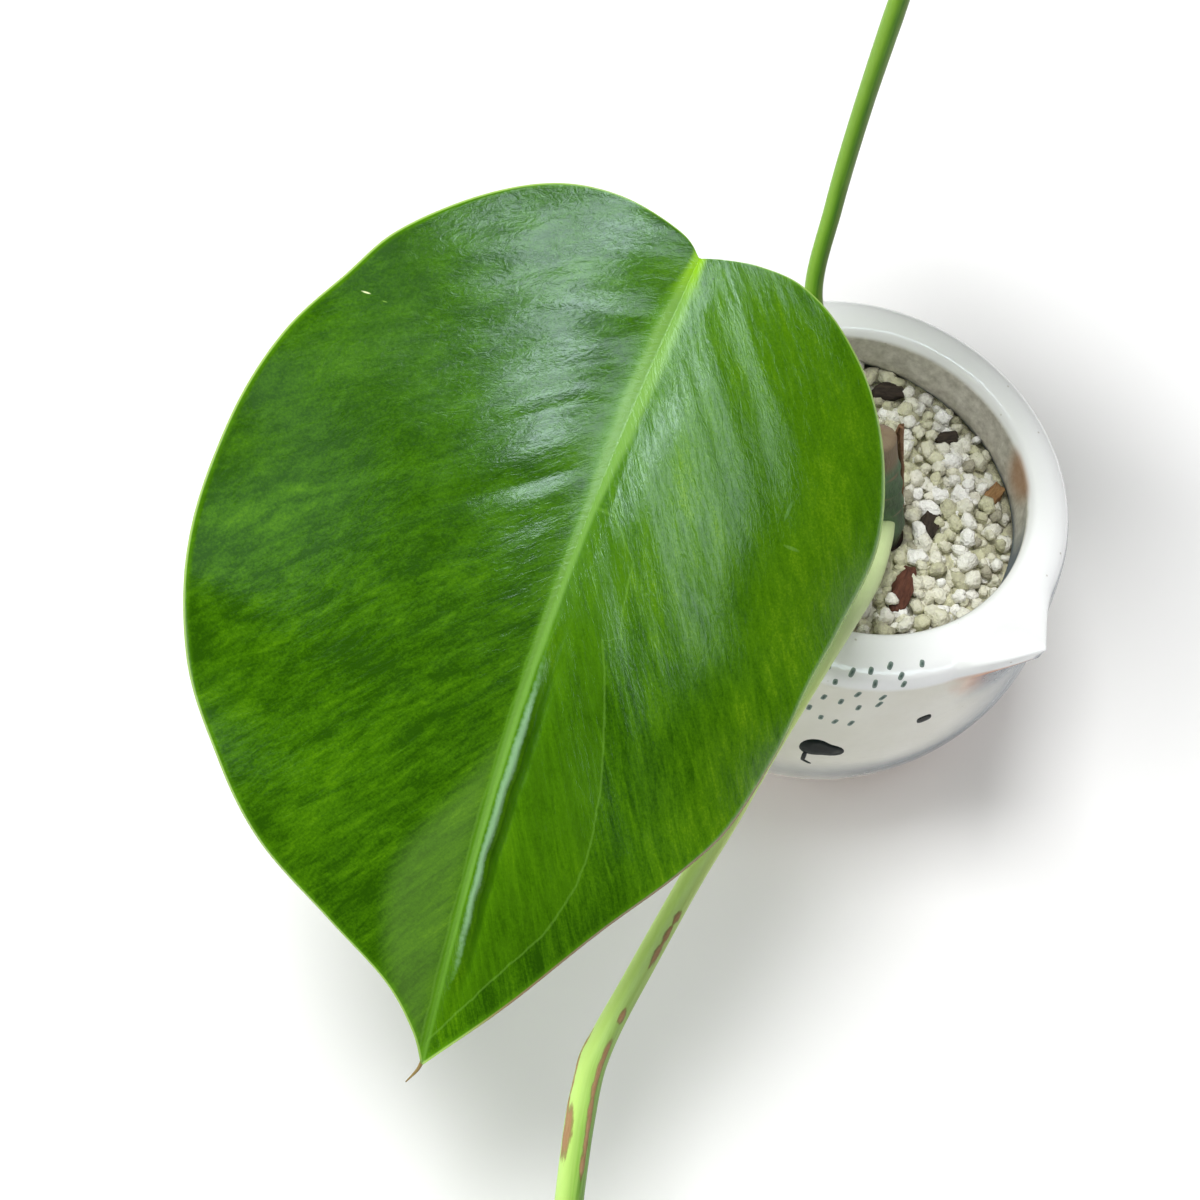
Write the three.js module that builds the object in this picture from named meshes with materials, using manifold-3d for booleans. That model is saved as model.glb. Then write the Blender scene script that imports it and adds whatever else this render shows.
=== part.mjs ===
// Potted swiss cheese plant, young, with entire leaves, in a small glazed pot with two ears.
// Millimetres, +Z up. The origin is the centre of the pot's flat base, and the pot's face looks to -Y.

import * as THREE from 'three';
import { mergeVertices } from 'three/addons/utils/BufferGeometryUtils.js';
import Module from 'manifold-3d';

const wasm = await Module();
wasm.setup();

// Driving dimensions of the pot
const POT_HEIGHT = 70;
const FOOT_RADIUS = 36.5;
const FOOT_ROUNDING = 1.3;
const BELLY_RADIUS = 51;
const BELLY_HEIGHT = 38;
const SHOULDER_RADIUS = 45.6;
const SHOULDER_HEIGHT = 66.4;
const CREST_RADIUS = 40.5;
const MOUTH_RADIUS = 35;
const MOUTH_EDGE_DROP = 2.2;
const WALL = 5.2;
const POT_SIDES = 64;

// Ears, pinched out of the shoulder 45 degrees either side of the face
const EAR_ANGLE_FROM_FACE = 45;
const EAR_REACH = 5.8;
const EAR_RISE = 9.6;
const EAR_FRONT_SPAN = 17;
const EAR_BACK_SPAN = 24;
const EAR_ROOT_HEIGHT = 47;
const EAR_FRONT_SHARPNESS = 1.2;
const EAR_BACK_SHARPNESS = 1.8;
const EAR_UNDERCUT = 2.4;

// Driving dimensions of the filling
const FIT = 0.4;
const MIX_TOP = 52.8;
const BED_BOTTOM = 53.2;
const BED_TOP = 56.2;
const BED_RADIUS = 39.4;
const BED_SIDES = 40;
const GRAIN_PITCH = 5.9;
const GRAIN_RADIUS = 2.9;
const GRAIN_FIELD_RADIUS = 38.4;
const GRAIN_JITTER = 1.9;
const GRAIN_FLATNESS = 0.86;
const GRAIN_LIFT = 0.28;
const GRAIN_SEED = 41;

// Driving dimensions of the plant
const GAP = 0.3;
const STEM_CLEARANCE = 0.4;
const BLADE_THICKNESS = 1.0;
const BLADE_ROWS = 30;
const SMALL_BLADE_ROWS = 20;
const ROD_SIDES = 10;
const STEM_HOLE_CENTRE = [8.8, -3.6];
const STEM_HOLE_RADIUS = 4.9;
const STEM_HOLE_FLOOR = 30;

const COLOURS = {
  glaze: 0xece8de,
  mix: 0x3b2c20,
  perlite: 0xdedcd0,
  darkBark: 0x2b241f,
  redBark: 0x6b2f22,
  tanBark: 0xa87b52,
  stem: 0x5a6e46,
  dryLeafBase: 0x80523a,
  petioleDeep: 0x5f9a1c,
  petiolePale: 0x8cbf52,
  blade: 0x3d7a12,
};

// A repeatable stream of numbers from 0 to 1
function seededNumbers(seed) {
  let state = seed >>> 0;
  return () => {
    state = (Math.imul(state, 1664525) + 1013904223) >>> 0;
    return state / 4294967296;
  };
}

const point = (xyz) => new THREE.Vector3(...xyz);
const clamp01 = (value) => THREE.MathUtils.clamp(value, 0, 1);
const distanceTo = (place, x, y) => Math.hypot(x - place[0], y - place[1]);

// A geometry with shared vertices only, no flat triangles, and its faces turned outwards
function closed(geometry) {
  const bare = geometry.clone();
  bare.deleteAttribute('normal');
  bare.deleteAttribute('uv');
  const merged = mergeVertices(bare, 1e-4);
  const source = merged.index.array;
  const kept = [];
  for (let i = 0; i < source.length; i += 3) {
    const [a, b, c] = [source[i], source[i + 1], source[i + 2]];
    if (a !== b && b !== c && a !== c) kept.push(a, b, c);
  }
  if (signedVolume(merged.attributes.position, kept) < 0) kept.reverse();
  const result = new THREE.BufferGeometry();
  result.setAttribute('position', merged.attributes.position);
  result.setIndex(kept);
  return result;
}

function signedVolume(position, indices) {
  const corner = [new THREE.Vector3(), new THREE.Vector3(), new THREE.Vector3()];
  let volume = 0;
  for (let i = 0; i < indices.length; i += 3) {
    corner.forEach((vertex, k) => vertex.fromBufferAttribute(position, indices[i + k]));
    volume += corner[0].dot(corner[1].clone().cross(corner[2])) / 6;
  }
  return volume;
}

// Joining and cutting
function toSolid(geometry) {
  const tidy = closed(geometry);
  const vertProperties = new Float32Array(tidy.attributes.position.array);
  const triVerts = new Uint32Array(tidy.index.array);
  return new wasm.Manifold(new wasm.Mesh({ numProp: 3, vertProperties, triVerts }));
}

function toGeometry(solid) {
  const mesh = solid.getMesh();
  const geometry = new THREE.BufferGeometry();
  geometry.setAttribute('position', new THREE.BufferAttribute(mesh.vertProperties, mesh.numProp));
  geometry.setIndex(new THREE.BufferAttribute(mesh.triVerts, 1));
  return closed(geometry);
}

// A closed mesh from a list of rings of points, with a flat cap at each end
function skin(rings) {
  const sides = rings[0].length;
  const centre = (ring) => ring.reduce((sum, p) => sum.add(p), new THREE.Vector3()).divideScalar(sides);
  const vertices = rings.flat();
  vertices.push(centre(rings[0]), centre(rings[rings.length - 1]));
  const firstCentre = vertices.length - 2;
  const lastCentre = vertices.length - 1;
  const lastRing = (rings.length - 1) * sides;
  const indices = [];
  for (let side = 0; side < sides; side += 1) {
    const next = (side + 1) % sides;
    for (let row = 0; row < rings.length - 1; row += 1) {
      const a = row * sides + side;
      const b = row * sides + next;
      indices.push(a, b, a + sides, b, b + sides, a + sides);
    }
    indices.push(firstCentre, next, side);
    indices.push(lastCentre, lastRing + side, lastRing + next);
  }
  const geometry = new THREE.BufferGeometry().setFromPoints(vertices);
  geometry.setIndex(indices);
  return closed(geometry);
}

// A round stalk along a smooth path, its radius read from a list spread evenly along it
function stalk({ path, radii, sides = ROD_SIDES, steps }) {
  const curve = new THREE.CatmullRomCurve3(path.map(point), false, 'centripetal');
  const frames = curve.computeFrenetFrames(steps, false);
  const rings = [];
  for (let step = 0; step <= steps; step += 1) {
    const along = step / steps;
    const place = along * (radii.length - 1);
    const index = Math.min(Math.floor(place), radii.length - 2);
    const radius = THREE.MathUtils.lerp(radii[index], radii[index + 1], place - index);
    const middle = curve.getPointAt(along);
    const ring = [];
    for (let side = 0; side < sides; side += 1) {
      const turn = (side / sides) * Math.PI * 2;
      const offset = frames.normals[step].clone().multiplyScalar(radius * Math.cos(turn));
      offset.addScaledVector(frames.binormals[step], radius * Math.sin(turn));
      ring.push(middle.clone().add(offset));
    }
    rings.push(ring);
  }
  return skin(rings);
}

// Turned forms
function turned(profile, sides) {
  const points = profile.map(([radius, height]) => new THREE.Vector2(radius, height));
  const geometry = new THREE.LatheGeometry(points, sides);
  geometry.rotateX(Math.PI / 2);
  return closed(geometry);
}

function sampled(knots, count) {
  const curve = new THREE.SplineCurve(knots.map(([x, y]) => new THREE.Vector2(x, y)));
  return curve.getPoints(count).map((p) => [p.x, p.y]);
}

// Inner wall of the pot from the mouth down to the floor, set in by an extra clearance
function innerWall(clearance) {
  return [
    [MOUTH_RADIUS, POT_HEIGHT - MOUTH_EDGE_DROP - 1],
    [MOUTH_RADIUS + 4.6, POT_HEIGHT - 12],
    [BELLY_RADIUS - WALL - 1.8, POT_HEIGHT - 21],
    [BELLY_RADIUS - WALL, BELLY_HEIGHT],
    [BELLY_RADIUS - WALL - 3, BELLY_HEIGHT - 18],
    [FOOT_RADIUS - 3, WALL + 2.5],
  ].map(([radius, height]) => [radius - clearance, height]);
}

function potProfile() {
  const outside = sampled([
    [FOOT_RADIUS, FOOT_ROUNDING],
    [BELLY_RADIUS - 3.6, 17.5],
    [BELLY_RADIUS, BELLY_HEIGHT],
    [BELLY_RADIUS - 3.2, 57],
    [SHOULDER_RADIUS, SHOULDER_HEIGHT],
  ], 9);
  const rim = sampled([
    [SHOULDER_RADIUS, SHOULDER_HEIGHT],
    [SHOULDER_RADIUS - 1.6, POT_HEIGHT - 1],
    [CREST_RADIUS, POT_HEIGHT],
    [MOUTH_RADIUS + 1.4, POT_HEIGHT - 0.6],
    [MOUTH_RADIUS, POT_HEIGHT - MOUTH_EDGE_DROP],
  ], 6);
  return [
    [0, 0],
    [FOOT_RADIUS - FOOT_ROUNDING, 0],
    ...outside,
    ...rim.slice(1),
    ...sampled(innerWall(0), 6),
    [FOOT_RADIUS - 8, WALL],
    [0, WALL],
  ];
}

// How strongly each ear pulls at a direction round the pot, 0 to 1
function earPullAround(degreesFromFace) {
  const pastTip = Math.abs(degreesFromFace) - EAR_ANGLE_FROM_FACE;
  if (pastTip < 0) return clamp01(1 + pastTip / EAR_FRONT_SPAN) ** EAR_FRONT_SHARPNESS;
  return clamp01(1 - pastTip / EAR_BACK_SPAN) ** EAR_BACK_SHARPNESS;
}

// How strongly each ear pulls at a point of the outer wall: most at the shoulder's edge
function earPullOnProfile(radius, height) {
  if (radius < CREST_RADIUS - 1 || height < EAR_ROOT_HEIGHT) return 0;
  if (height <= SHOULDER_HEIGHT) {
    return ((height - EAR_ROOT_HEIGHT) / (SHOULDER_HEIGHT - EAR_ROOT_HEIGHT)) ** EAR_UNDERCUT;
  }
  return clamp01((radius - CREST_RADIUS) / (SHOULDER_RADIUS - CREST_RADIUS));
}

function pinchEars(geometry) {
  const position = geometry.attributes.position;
  const vertex = new THREE.Vector3();
  for (let i = 0; i < position.count; i += 1) {
    vertex.fromBufferAttribute(position, i);
    const radius = Math.hypot(vertex.x, vertex.y);
    const fromFace = THREE.MathUtils.radToDeg(Math.atan2(vertex.x, -vertex.y));
    const pull = earPullAround(fromFace) * earPullOnProfile(radius, vertex.z);
    if (pull > 0) {
      const reach = (radius + EAR_REACH * pull) / radius;
      position.setXYZ(i, vertex.x * reach, vertex.y * reach, vertex.z + EAR_RISE * pull);
    }
  }
  return geometry;
}

const potGeometry = () => pinchEars(turned(potProfile(), POT_SIDES));

// Filling of the pot
const STEM_PATH = [
  [9.4, -4, STEM_HOLE_FLOOR + 1],
  [9, -3.8, 46],
  [8.3, -3.4, 58],
  [4.5, -2.4, 70],
  [0, -2.6, 83],
  [-1.8, -2.2, 89],
];
const STEM_RADII = [3.0, 4.1, 4.2, 4.0, 3.9, 3.4];
const STEM_SIDES = 12;
const STEM_STEPS = 12;

function stemHole(from, to) {
  const hole = new THREE.CylinderGeometry(STEM_HOLE_RADIUS, STEM_HOLE_RADIUS, to - from, 20);
  hole.rotateX(Math.PI / 2);
  hole.translate(...STEM_HOLE_CENTRE, (from + to) / 2);
  return toSolid(hole);
}

function mixGeometry() {
  const side = sampled(innerWall(FIT), 6).filter(([, height]) => height < MIX_TOP - 1).reverse();
  const profile = [
    [0, WALL + FIT],
    [FOOT_RADIUS - 8, WALL + FIT],
    ...side,
    [BELLY_RADIUS - WALL - 4.6, MIX_TOP],
    [0, MIX_TOP],
  ];
  return toGeometry(toSolid(turned(profile, 36)).subtract(stemHole(STEM_HOLE_FLOOR, MIX_TOP + 1)));
}

// Chips of bark lie flat in cleared places of the perlite
const BARK_CHIPS = [
  { name: 'bark_chip_red', at: [13.2, -17.4], length: 10.5, width: 4.2, turn: 74, colour: COLOURS.redBark },
  { name: 'bark_chip_tan', at: [33, 9.2], length: 5.6, width: 3.2, turn: 58, colour: COLOURS.tanBark },
  { name: 'bark_chip_dark_1', at: [22, 20.6], length: 5.2, width: 3.8, turn: 20, colour: COLOURS.darkBark },
  { name: 'bark_chip_dark_2', at: [18.6, -1.6], length: 7.2, width: 3.8, turn: 80, colour: COLOURS.darkBark },
  { name: 'bark_chip_dark_3', at: [-17, -20], length: 7.5, width: 4.4, turn: -35, colour: COLOURS.darkBark },
  { name: 'bark_chip_dark_4', at: [-20, 17], length: 6.4, width: 4.6, turn: 65, colour: COLOURS.darkBark },
  { name: 'bark_chip_dark_5', at: [8.5, 30.5], length: 6.8, width: 3.6, turn: 8, colour: COLOURS.darkBark },
];
const CHIP_THICKNESS = 1.9;
const CHIP_SIDES = 7;
const CHIP_REACH = 0.56;
const FIRST_CHIP_SEED = 7;

function chipGeometry({ length, width, turn, at }, seed) {
  const random = seededNumbers(seed);
  const outline = new THREE.Shape();
  for (let side = 0; side < CHIP_SIDES; side += 1) {
    const angle = (side / CHIP_SIDES) * Math.PI * 2;
    const size = 0.82 + 0.36 * random();
    const x = (length / 2) * size * Math.cos(angle);
    const y = (width / 2) * size * Math.sin(angle);
    if (side === 0) outline.moveTo(x, y);
    else outline.lineTo(x, y);
  }
  const geometry = new THREE.ExtrudeGeometry(outline, { depth: CHIP_THICKNESS, bevelEnabled: false });
  geometry.rotateZ(THREE.MathUtils.degToRad(turn));
  geometry.translate(at[0], at[1], BED_TOP + GAP);
  return closed(geometry);
}

function grainPlaces() {
  const random = seededNumbers(GRAIN_SEED);
  const rowStep = GRAIN_PITCH * Math.sqrt(0.75);
  const rows = Math.ceil(GRAIN_FIELD_RADIUS / rowStep);
  const columns = Math.ceil(GRAIN_FIELD_RADIUS / GRAIN_PITCH) + 1;
  const places = [];
  for (let row = -rows; row <= rows; row += 1) {
    for (let column = -columns; column <= columns; column += 1) {
      const shift = row % 2 === 0 ? 0 : 0.5;
      const x = (column + shift) * GRAIN_PITCH + (random() - 0.5) * GRAIN_JITTER;
      const y = row * rowStep + (random() - 0.5) * GRAIN_JITTER;
      const size = GRAIN_RADIUS * (0.8 + 0.4 * random());
      const spin = [random() * Math.PI, random() * Math.PI, random() * Math.PI];
      if (Math.hypot(x, y) + size > GRAIN_FIELD_RADIUS) continue;
      if (distanceTo(STEM_HOLE_CENTRE, x, y) < STEM_HOLE_RADIUS + size) continue;
      const onChip = BARK_CHIPS.some(({ at, length }) => {
        return distanceTo(at, x, y) < length * CHIP_REACH + size + GAP;
      });
      if (!onChip) places.push({ x, y, size, spin });
    }
  }
  return places;
}

function perliteGeometry() {
  const bedProfile = [
    [0, BED_BOTTOM],
    [BED_RADIUS + 1.2, BED_BOTTOM],
    [BED_RADIUS, BED_TOP],
    [0, BED_TOP],
  ];
  let bed = toSolid(turned(bedProfile, BED_SIDES));
  for (const { x, y, size, spin } of grainPlaces()) {
    const grain = new THREE.IcosahedronGeometry(size, 0);
    grain.rotateX(spin[0]);
    grain.rotateY(spin[1]);
    grain.rotateZ(spin[2]);
    grain.scale(1, 1, GRAIN_FLATNESS);
    grain.translate(x, y, BED_TOP + size * GRAIN_LIFT);
    bed = bed.add(toSolid(grain));
  }
  return toGeometry(bed.subtract(stemHole(BED_BOTTOM - 1, BED_TOP + 2 * GRAIN_RADIUS)));
}

// Blades
// An outline point is [across, along]: millimetres from the midrib and from the sinus towards the tip.
const MAIN_OUTLINE_LEFT = [
  [0, 0], [-4, -2.9], [-15, -5.2], [-26, -3.8], [-37, 2], [-47.5, 11.5], [-53, 20.5], [-59.5, 33],
  [-63.5, 52], [-63, 68], [-57, 88], [-47, 101], [-36, 111.5], [-22, 119.6], [-10, 126.4], [-3.2, 133],
  [0, 138.4],
];
const MAIN_OUTLINE_RIGHT = [
  [0, 0], [4, -1], [10, -1.9], [17.5, -1.5], [26, 2.4], [35, 10.2], [41.5, 20.5], [45.2, 34],
  [43.5, 49], [41, 60], [39.5, 73], [36, 86], [30, 95.5], [21, 107.5], [11, 122.5], [3.6, 133], [0, 138.4],
];

const MAIN_LEAF = {
  sinus: [-46.8, -6.8, 140],
  tip: [-71.3, -128.8, 79.5],
  faces: [-0.0653, -0.4328, 0.8991],
  left: MAIN_OUTLINE_LEFT,
  right: MAIN_OUTLINE_RIGHT,
  rows: BLADE_ROWS,
  arch: 6,
  fallLeft: 0.0018,
  fallRight: 0.0095,
  midribSway: -4,
  ripple: 1.1,
  ripplePhase: 0.4,
};
const UPRIGHT_LEAF = {
  sinus: [-20.6, 37.5, 197],
  tip: [3, 124, 158],
  faces: [0.05, 0.38, 0.92],
  left: scaledOutline(MAIN_OUTLINE_RIGHT, -1.02, 0.71),
  right: scaledOutline(MAIN_OUTLINE_LEFT, -0.72, 0.71),
  rows: SMALL_BLADE_ROWS,
  arch: 7,
  fallLeft: 0.0055,
  fallRight: 0.0045,
  midribSway: 2.5,
  ripple: 1,
  ripplePhase: 1.7,
};
const ARCHING_LEAF = {
  sinus: [-37, -178, 45],
  tip: [-24, -260, 17],
  faces: [0.06, -0.33, 0.94],
  left: scaledOutline(MAIN_OUTLINE_LEFT, 0.66, 0.64),
  right: scaledOutline(MAIN_OUTLINE_RIGHT, 0.92, 0.64),
  rows: SMALL_BLADE_ROWS,
  arch: 5,
  fallLeft: 0.0038,
  fallRight: 0.0052,
  midribSway: -2,
  ripple: 0.8,
  ripplePhase: 2.9,
};

function scaledOutline(outline, across, along) {
  return outline.map(([u, v]) => [u * across, v * along]);
}

// Columns from the midrib, 0, to the margin, 1: close together over the rib
const BLADE_COLUMNS = [0, 0.045, 0.11, 0.24, 0.4, 0.56, 0.72, 0.87, 1];
const RIB_WIDTH = 2.4;
const RIB_DEPTH = 1.9;
const GROOVE_WIDTH = 6;
const GROOVE_DEPTH = 2;
const RIPPLE_LENGTH = 34;
const RIGHT_RIPPLE_SHIFT = 2;
// Rows start a little past the sinus and stop a little short of the tip, closer together near the stalk
const FIRST_ROW = 0.012;
const LAST_ROW = 0.992;
const ROW_CROWDING = 1.45;
const RIB_TAPER = 0.75;

// The blade's own directions: along the midrib, across it to the right, and out of its upper face
function bladeAxes({ sinus, tip, faces }) {
  const origin = point(sinus);
  const along = point(tip).sub(origin);
  const length = along.length();
  along.normalize();
  const out = point(faces);
  out.addScaledVector(along, -out.dot(along)).normalize();
  const across = out.clone().cross(along);
  return { origin, along, across, out, length };
}

// Height of the upper face over the plane through the sinus and the tip
function bladeHeight(leaf, u, v, edge) {
  const t = clamp01(v / bladeAxes(leaf).length);
  const distance = Math.abs(u - leaf.midribSway * Math.sin(Math.PI * t));
  const fall = u < 0 ? leaf.fallLeft : leaf.fallRight;
  const arch = 4 * leaf.arch * t * (1 - t);
  const groove = GROOVE_DEPTH * (1 - Math.exp(-distance / GROOVE_WIDTH));
  const phase = leaf.ripplePhase + (u < 0 ? 0 : RIGHT_RIPPLE_SHIFT);
  const wave = Math.sin((v / RIPPLE_LENGTH) * Math.PI * 2 + phase);
  const ripple = leaf.ripple * edge ** 3 * wave * Math.sin(Math.PI * t);
  return arch + groove - fall * distance * distance + ripple;
}

// A blade as a grid of rows that run from the midrib out to the margin, alike on both faces
function bladeGeometry(leaf, clearance = 0) {
  const { origin, along, across, out, length } = bladeAxes(leaf);
  const margins = [leaf.left, leaf.right].map((outline) => {
    return new THREE.SplineCurve(outline.map(([u, v]) => new THREE.Vector2(u, v)));
  });
  const leftColumns = BLADE_COLUMNS.slice(1).reverse().map((w) => [0, w]);
  const columns = [...leftColumns, ...BLADE_COLUMNS.map((w) => [1, w])];
  const upper = [];
  const lower = [];
  for (let row = 0; row <= leaf.rows; row += 1) {
    const s = THREE.MathUtils.lerp(FIRST_ROW, LAST_ROW, row / leaf.rows);
    const ribV = length * s ** ROW_CROWDING;
    const ribU = leaf.midribSway * Math.sin(Math.PI * clamp01(ribV / length));
    const ribFade = 1 - RIB_TAPER * s;
    for (const [half, w] of columns) {
      const margin = margins[half].getPointAt(s);
      const u = THREE.MathUtils.lerp(ribU, margin.x, w);
      const v = THREE.MathUtils.lerp(ribV, margin.y, w);
      const rise = bladeHeight(leaf, u, v, w);
      const rib = RIB_DEPTH * ribFade * Math.exp(-(((u - ribU) / RIB_WIDTH) ** 2));
      const top = origin.clone().addScaledVector(across, u).addScaledVector(along, v);
      const bottom = top.clone();
      top.addScaledVector(out, rise + clearance);
      bottom.addScaledVector(out, rise - BLADE_THICKNESS - rib - clearance);
      upper.push(top);
      lower.push(bottom);
    }
  }
  return twoFaces(upper, lower, leaf.rows + 1, columns.length);
}

// Two like grids of points and the narrow wall between their edges
function twoFaces(upper, lower, rows, columns) {
  const indices = [];
  const under = upper.length;
  const at = (row, column) => row * columns + column;
  for (let row = 0; row < rows - 1; row += 1) {
    for (let column = 0; column < columns - 1; column += 1) {
      const [a, b] = [at(row, column), at(row, column + 1)];
      const [c, d] = [at(row + 1, column), at(row + 1, column + 1)];
      indices.push(a, c, b, b, c, d);
      indices.push(under + a, under + b, under + c, under + b, under + d, under + c);
    }
  }
  const wall = (a, b) => indices.push(a, b, under + a, b, under + b, under + a);
  for (let column = 0; column < columns - 1; column += 1) {
    wall(at(0, column), at(0, column + 1));
    wall(at(rows - 1, column + 1), at(rows - 1, column));
  }
  for (let row = 0; row < rows - 1; row += 1) {
    wall(at(row + 1, 0), at(row, 0));
    wall(at(row, columns - 1), at(row + 1, columns - 1));
  }
  const geometry = new THREE.BufferGeometry().setFromPoints([...upper, ...lower]);
  geometry.setIndex(indices);
  return closed(geometry);
}

// Leaf stalks, each cut back by the gap where it meets the stem and its own blade
function stalkEnd(leaf) {
  const { origin, along, out } = bladeAxes(leaf);
  return [[1, -8], [1.8, -3.4]].map(([forward, down]) => {
    return origin.clone().addScaledVector(along, forward).addScaledVector(out, down).toArray();
  });
}

const MAIN_STALK_PATH = [
  [-0.8, -2.4, 84],
  [-6, -4, 93],
  [-14, -5, 104],
  [-24, -7, 113],
  [-34, -8, 120],
  [-41.5, -6.5, 126],
  ...stalkEnd(MAIN_LEAF),
];
const UPRIGHT_STALK_PATH = [
  [3.4, -2.2, 73],
  [-3, 5, 79],
  [-11, 13.5, 88],
  [-18.4, 21.6, 98.3],
  [-19.9, 27.6, 117.7],
  [-21.3, 29.4, 140.6],
  [-22.4, 29.8, 166],
  [-22.5, 31.4, 181],
  ...stalkEnd(UPRIGHT_LEAF),
];
const ARCHING_STALK_PATH = [
  [8.2, -3.4, 62.5],
  [8, -10, 64.3],
  [5.5, -20, 68],
  [1.5, -27.6, 73],
  [-4.3, -38.2, 77.2],
  [-8.4, -46, 78],
  [-15.9, -62.1, 73],
  [-21.6, -75.2, 68.2],
  [-27.4, -87.5, 65.4],
  [-34.9, -104.9, 62.6],
  [-40.2, -117.8, 61.2],
  [-42, -126.5, 59.2],
  [-42.3, -139.8, 55.6],
  [-41.6, -152, 50.5],
  [-39, -166, 42],
  ...stalkEnd(ARCHING_LEAF),
];

const stemGeometry = () => {
  return stalk({ path: STEM_PATH, radii: STEM_RADII, sides: STEM_SIDES, steps: STEM_STEPS });
};

function widerStem() {
  const radii = STEM_RADII.map((radius) => radius + STEM_CLEARANCE);
  return stalk({ path: STEM_PATH, radii, sides: STEM_SIDES, steps: STEM_STEPS });
}

function leafStalk({ path, radii, steps, leaf }) {
  const whole = toSolid(stalk({ path, radii, steps }));
  const trimmed = whole.subtract(toSolid(widerStem())).subtract(toSolid(bladeGeometry(leaf, GAP)));
  return toGeometry(trimmed);
}

// The dry base of a shed leaf, a thin strip standing against the stem
const DRY_BASE = {
  from: [10.6, 1.9, 61.5],
  to: [2.6, 2.4, 87],
  faces: [0.8, 0.6, 0],
  halfWidth: 2.6,
};
const DRY_BASE_THICKNESS = 0.8;
const DRY_BASE_ROWS = 8;

function dryBaseGeometry() {
  const { from, to, faces, halfWidth } = DRY_BASE;
  const along = point(to).sub(point(from));
  const outward = point(faces);
  outward.addScaledVector(along, -outward.dot(along) / along.lengthSq()).normalize();
  const across = along.clone().cross(outward).normalize();
  const upper = [];
  const lower = [];
  const columns = [-1, -0.5, 0, 0.5, 1];
  for (let row = 0; row <= DRY_BASE_ROWS; row += 1) {
    const t = row / DRY_BASE_ROWS;
    const width = halfWidth * (1 - 0.8 * t ** 3);
    for (const side of columns) {
      const cup = -0.9 * side * side + 1.2 * t * t;
      const place = point(from).addScaledVector(along, t).addScaledVector(across, side * width);
      upper.push(place.clone().addScaledVector(outward, cup + DRY_BASE_THICKNESS));
      lower.push(place.clone().addScaledVector(outward, cup));
    }
  }
  return twoFaces(upper, lower, DRY_BASE_ROWS + 1, columns.length);
}

// Assembly
const plant = new THREE.Group();

function add(name, geometry, colour, roughness) {
  const shown = geometry.toNonIndexed();
  shown.computeVertexNormals();
  const material = new THREE.MeshStandardMaterial({ color: colour, roughness, metalness: 0 });
  const mesh = new THREE.Mesh(shown, material);
  mesh.name = name;
  plant.add(mesh);
}

add('pot', potGeometry(), COLOURS.glaze, 0.2);
add('potting_mix', mixGeometry(), COLOURS.mix, 0.95);
add('perlite_bed', perliteGeometry(), COLOURS.perlite, 0.9);
BARK_CHIPS.forEach((chip, index) => {
  add(chip.name, chipGeometry(chip, index + FIRST_CHIP_SEED), chip.colour, 0.9);
});

add('stem', stemGeometry(), COLOURS.stem, 0.6);
add('dry_leaf_base', dryBaseGeometry(), COLOURS.dryLeafBase, 0.9);

const LEAVES = [
  {
    name: 'main',
    leaf: MAIN_LEAF,
    path: MAIN_STALK_PATH,
    radii: [2.5, 2.1, 1.9, 1.9, 2.1, 1.7],
    steps: 22,
    colour: COLOURS.petiolePale,
  },
  {
    name: 'upright',
    leaf: UPRIGHT_LEAF,
    path: UPRIGHT_STALK_PATH,
    radii: [2.4, 2.1, 1.8, 1.7, 1.7, 1.65, 1.7, 1.5],
    steps: 30,
    colour: COLOURS.petioleDeep,
  },
  {
    name: 'arching',
    leaf: ARCHING_LEAF,
    path: ARCHING_STALK_PATH,
    radii: [2.9, 2.4, 2.15, 2.1, 2.1, 2.1, 2.2, 2.65, 2.5, 1.7],
    steps: 40,
    colour: COLOURS.petiolePale,
  },
];

for (const { name, leaf, path, radii, steps, colour } of LEAVES) {
  add(`stalk_${name}`, leafStalk({ path, radii, steps, leaf }), colour, 0.45);
  add(`leaf_${name}`, bladeGeometry(leaf), COLOURS.blade, 0.35);
}

export default plant;
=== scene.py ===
"""Young swiss cheese plant with whole leaves, in a small glazed pot with two ears.

Shapes are worked out in millimetres and scaled to metres when a piece is finished. +Z is up, the origin is
the centre of the pot's base, and the painted face looks to -Y.
"""

import logging
import math
import random
from bisect import bisect_left
from collections.abc import Callable, Iterable, Sequence
from dataclasses import dataclass, replace
from enum import Enum

import bmesh
import bpy
from mathutils import Matrix, Vector, noise


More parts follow.
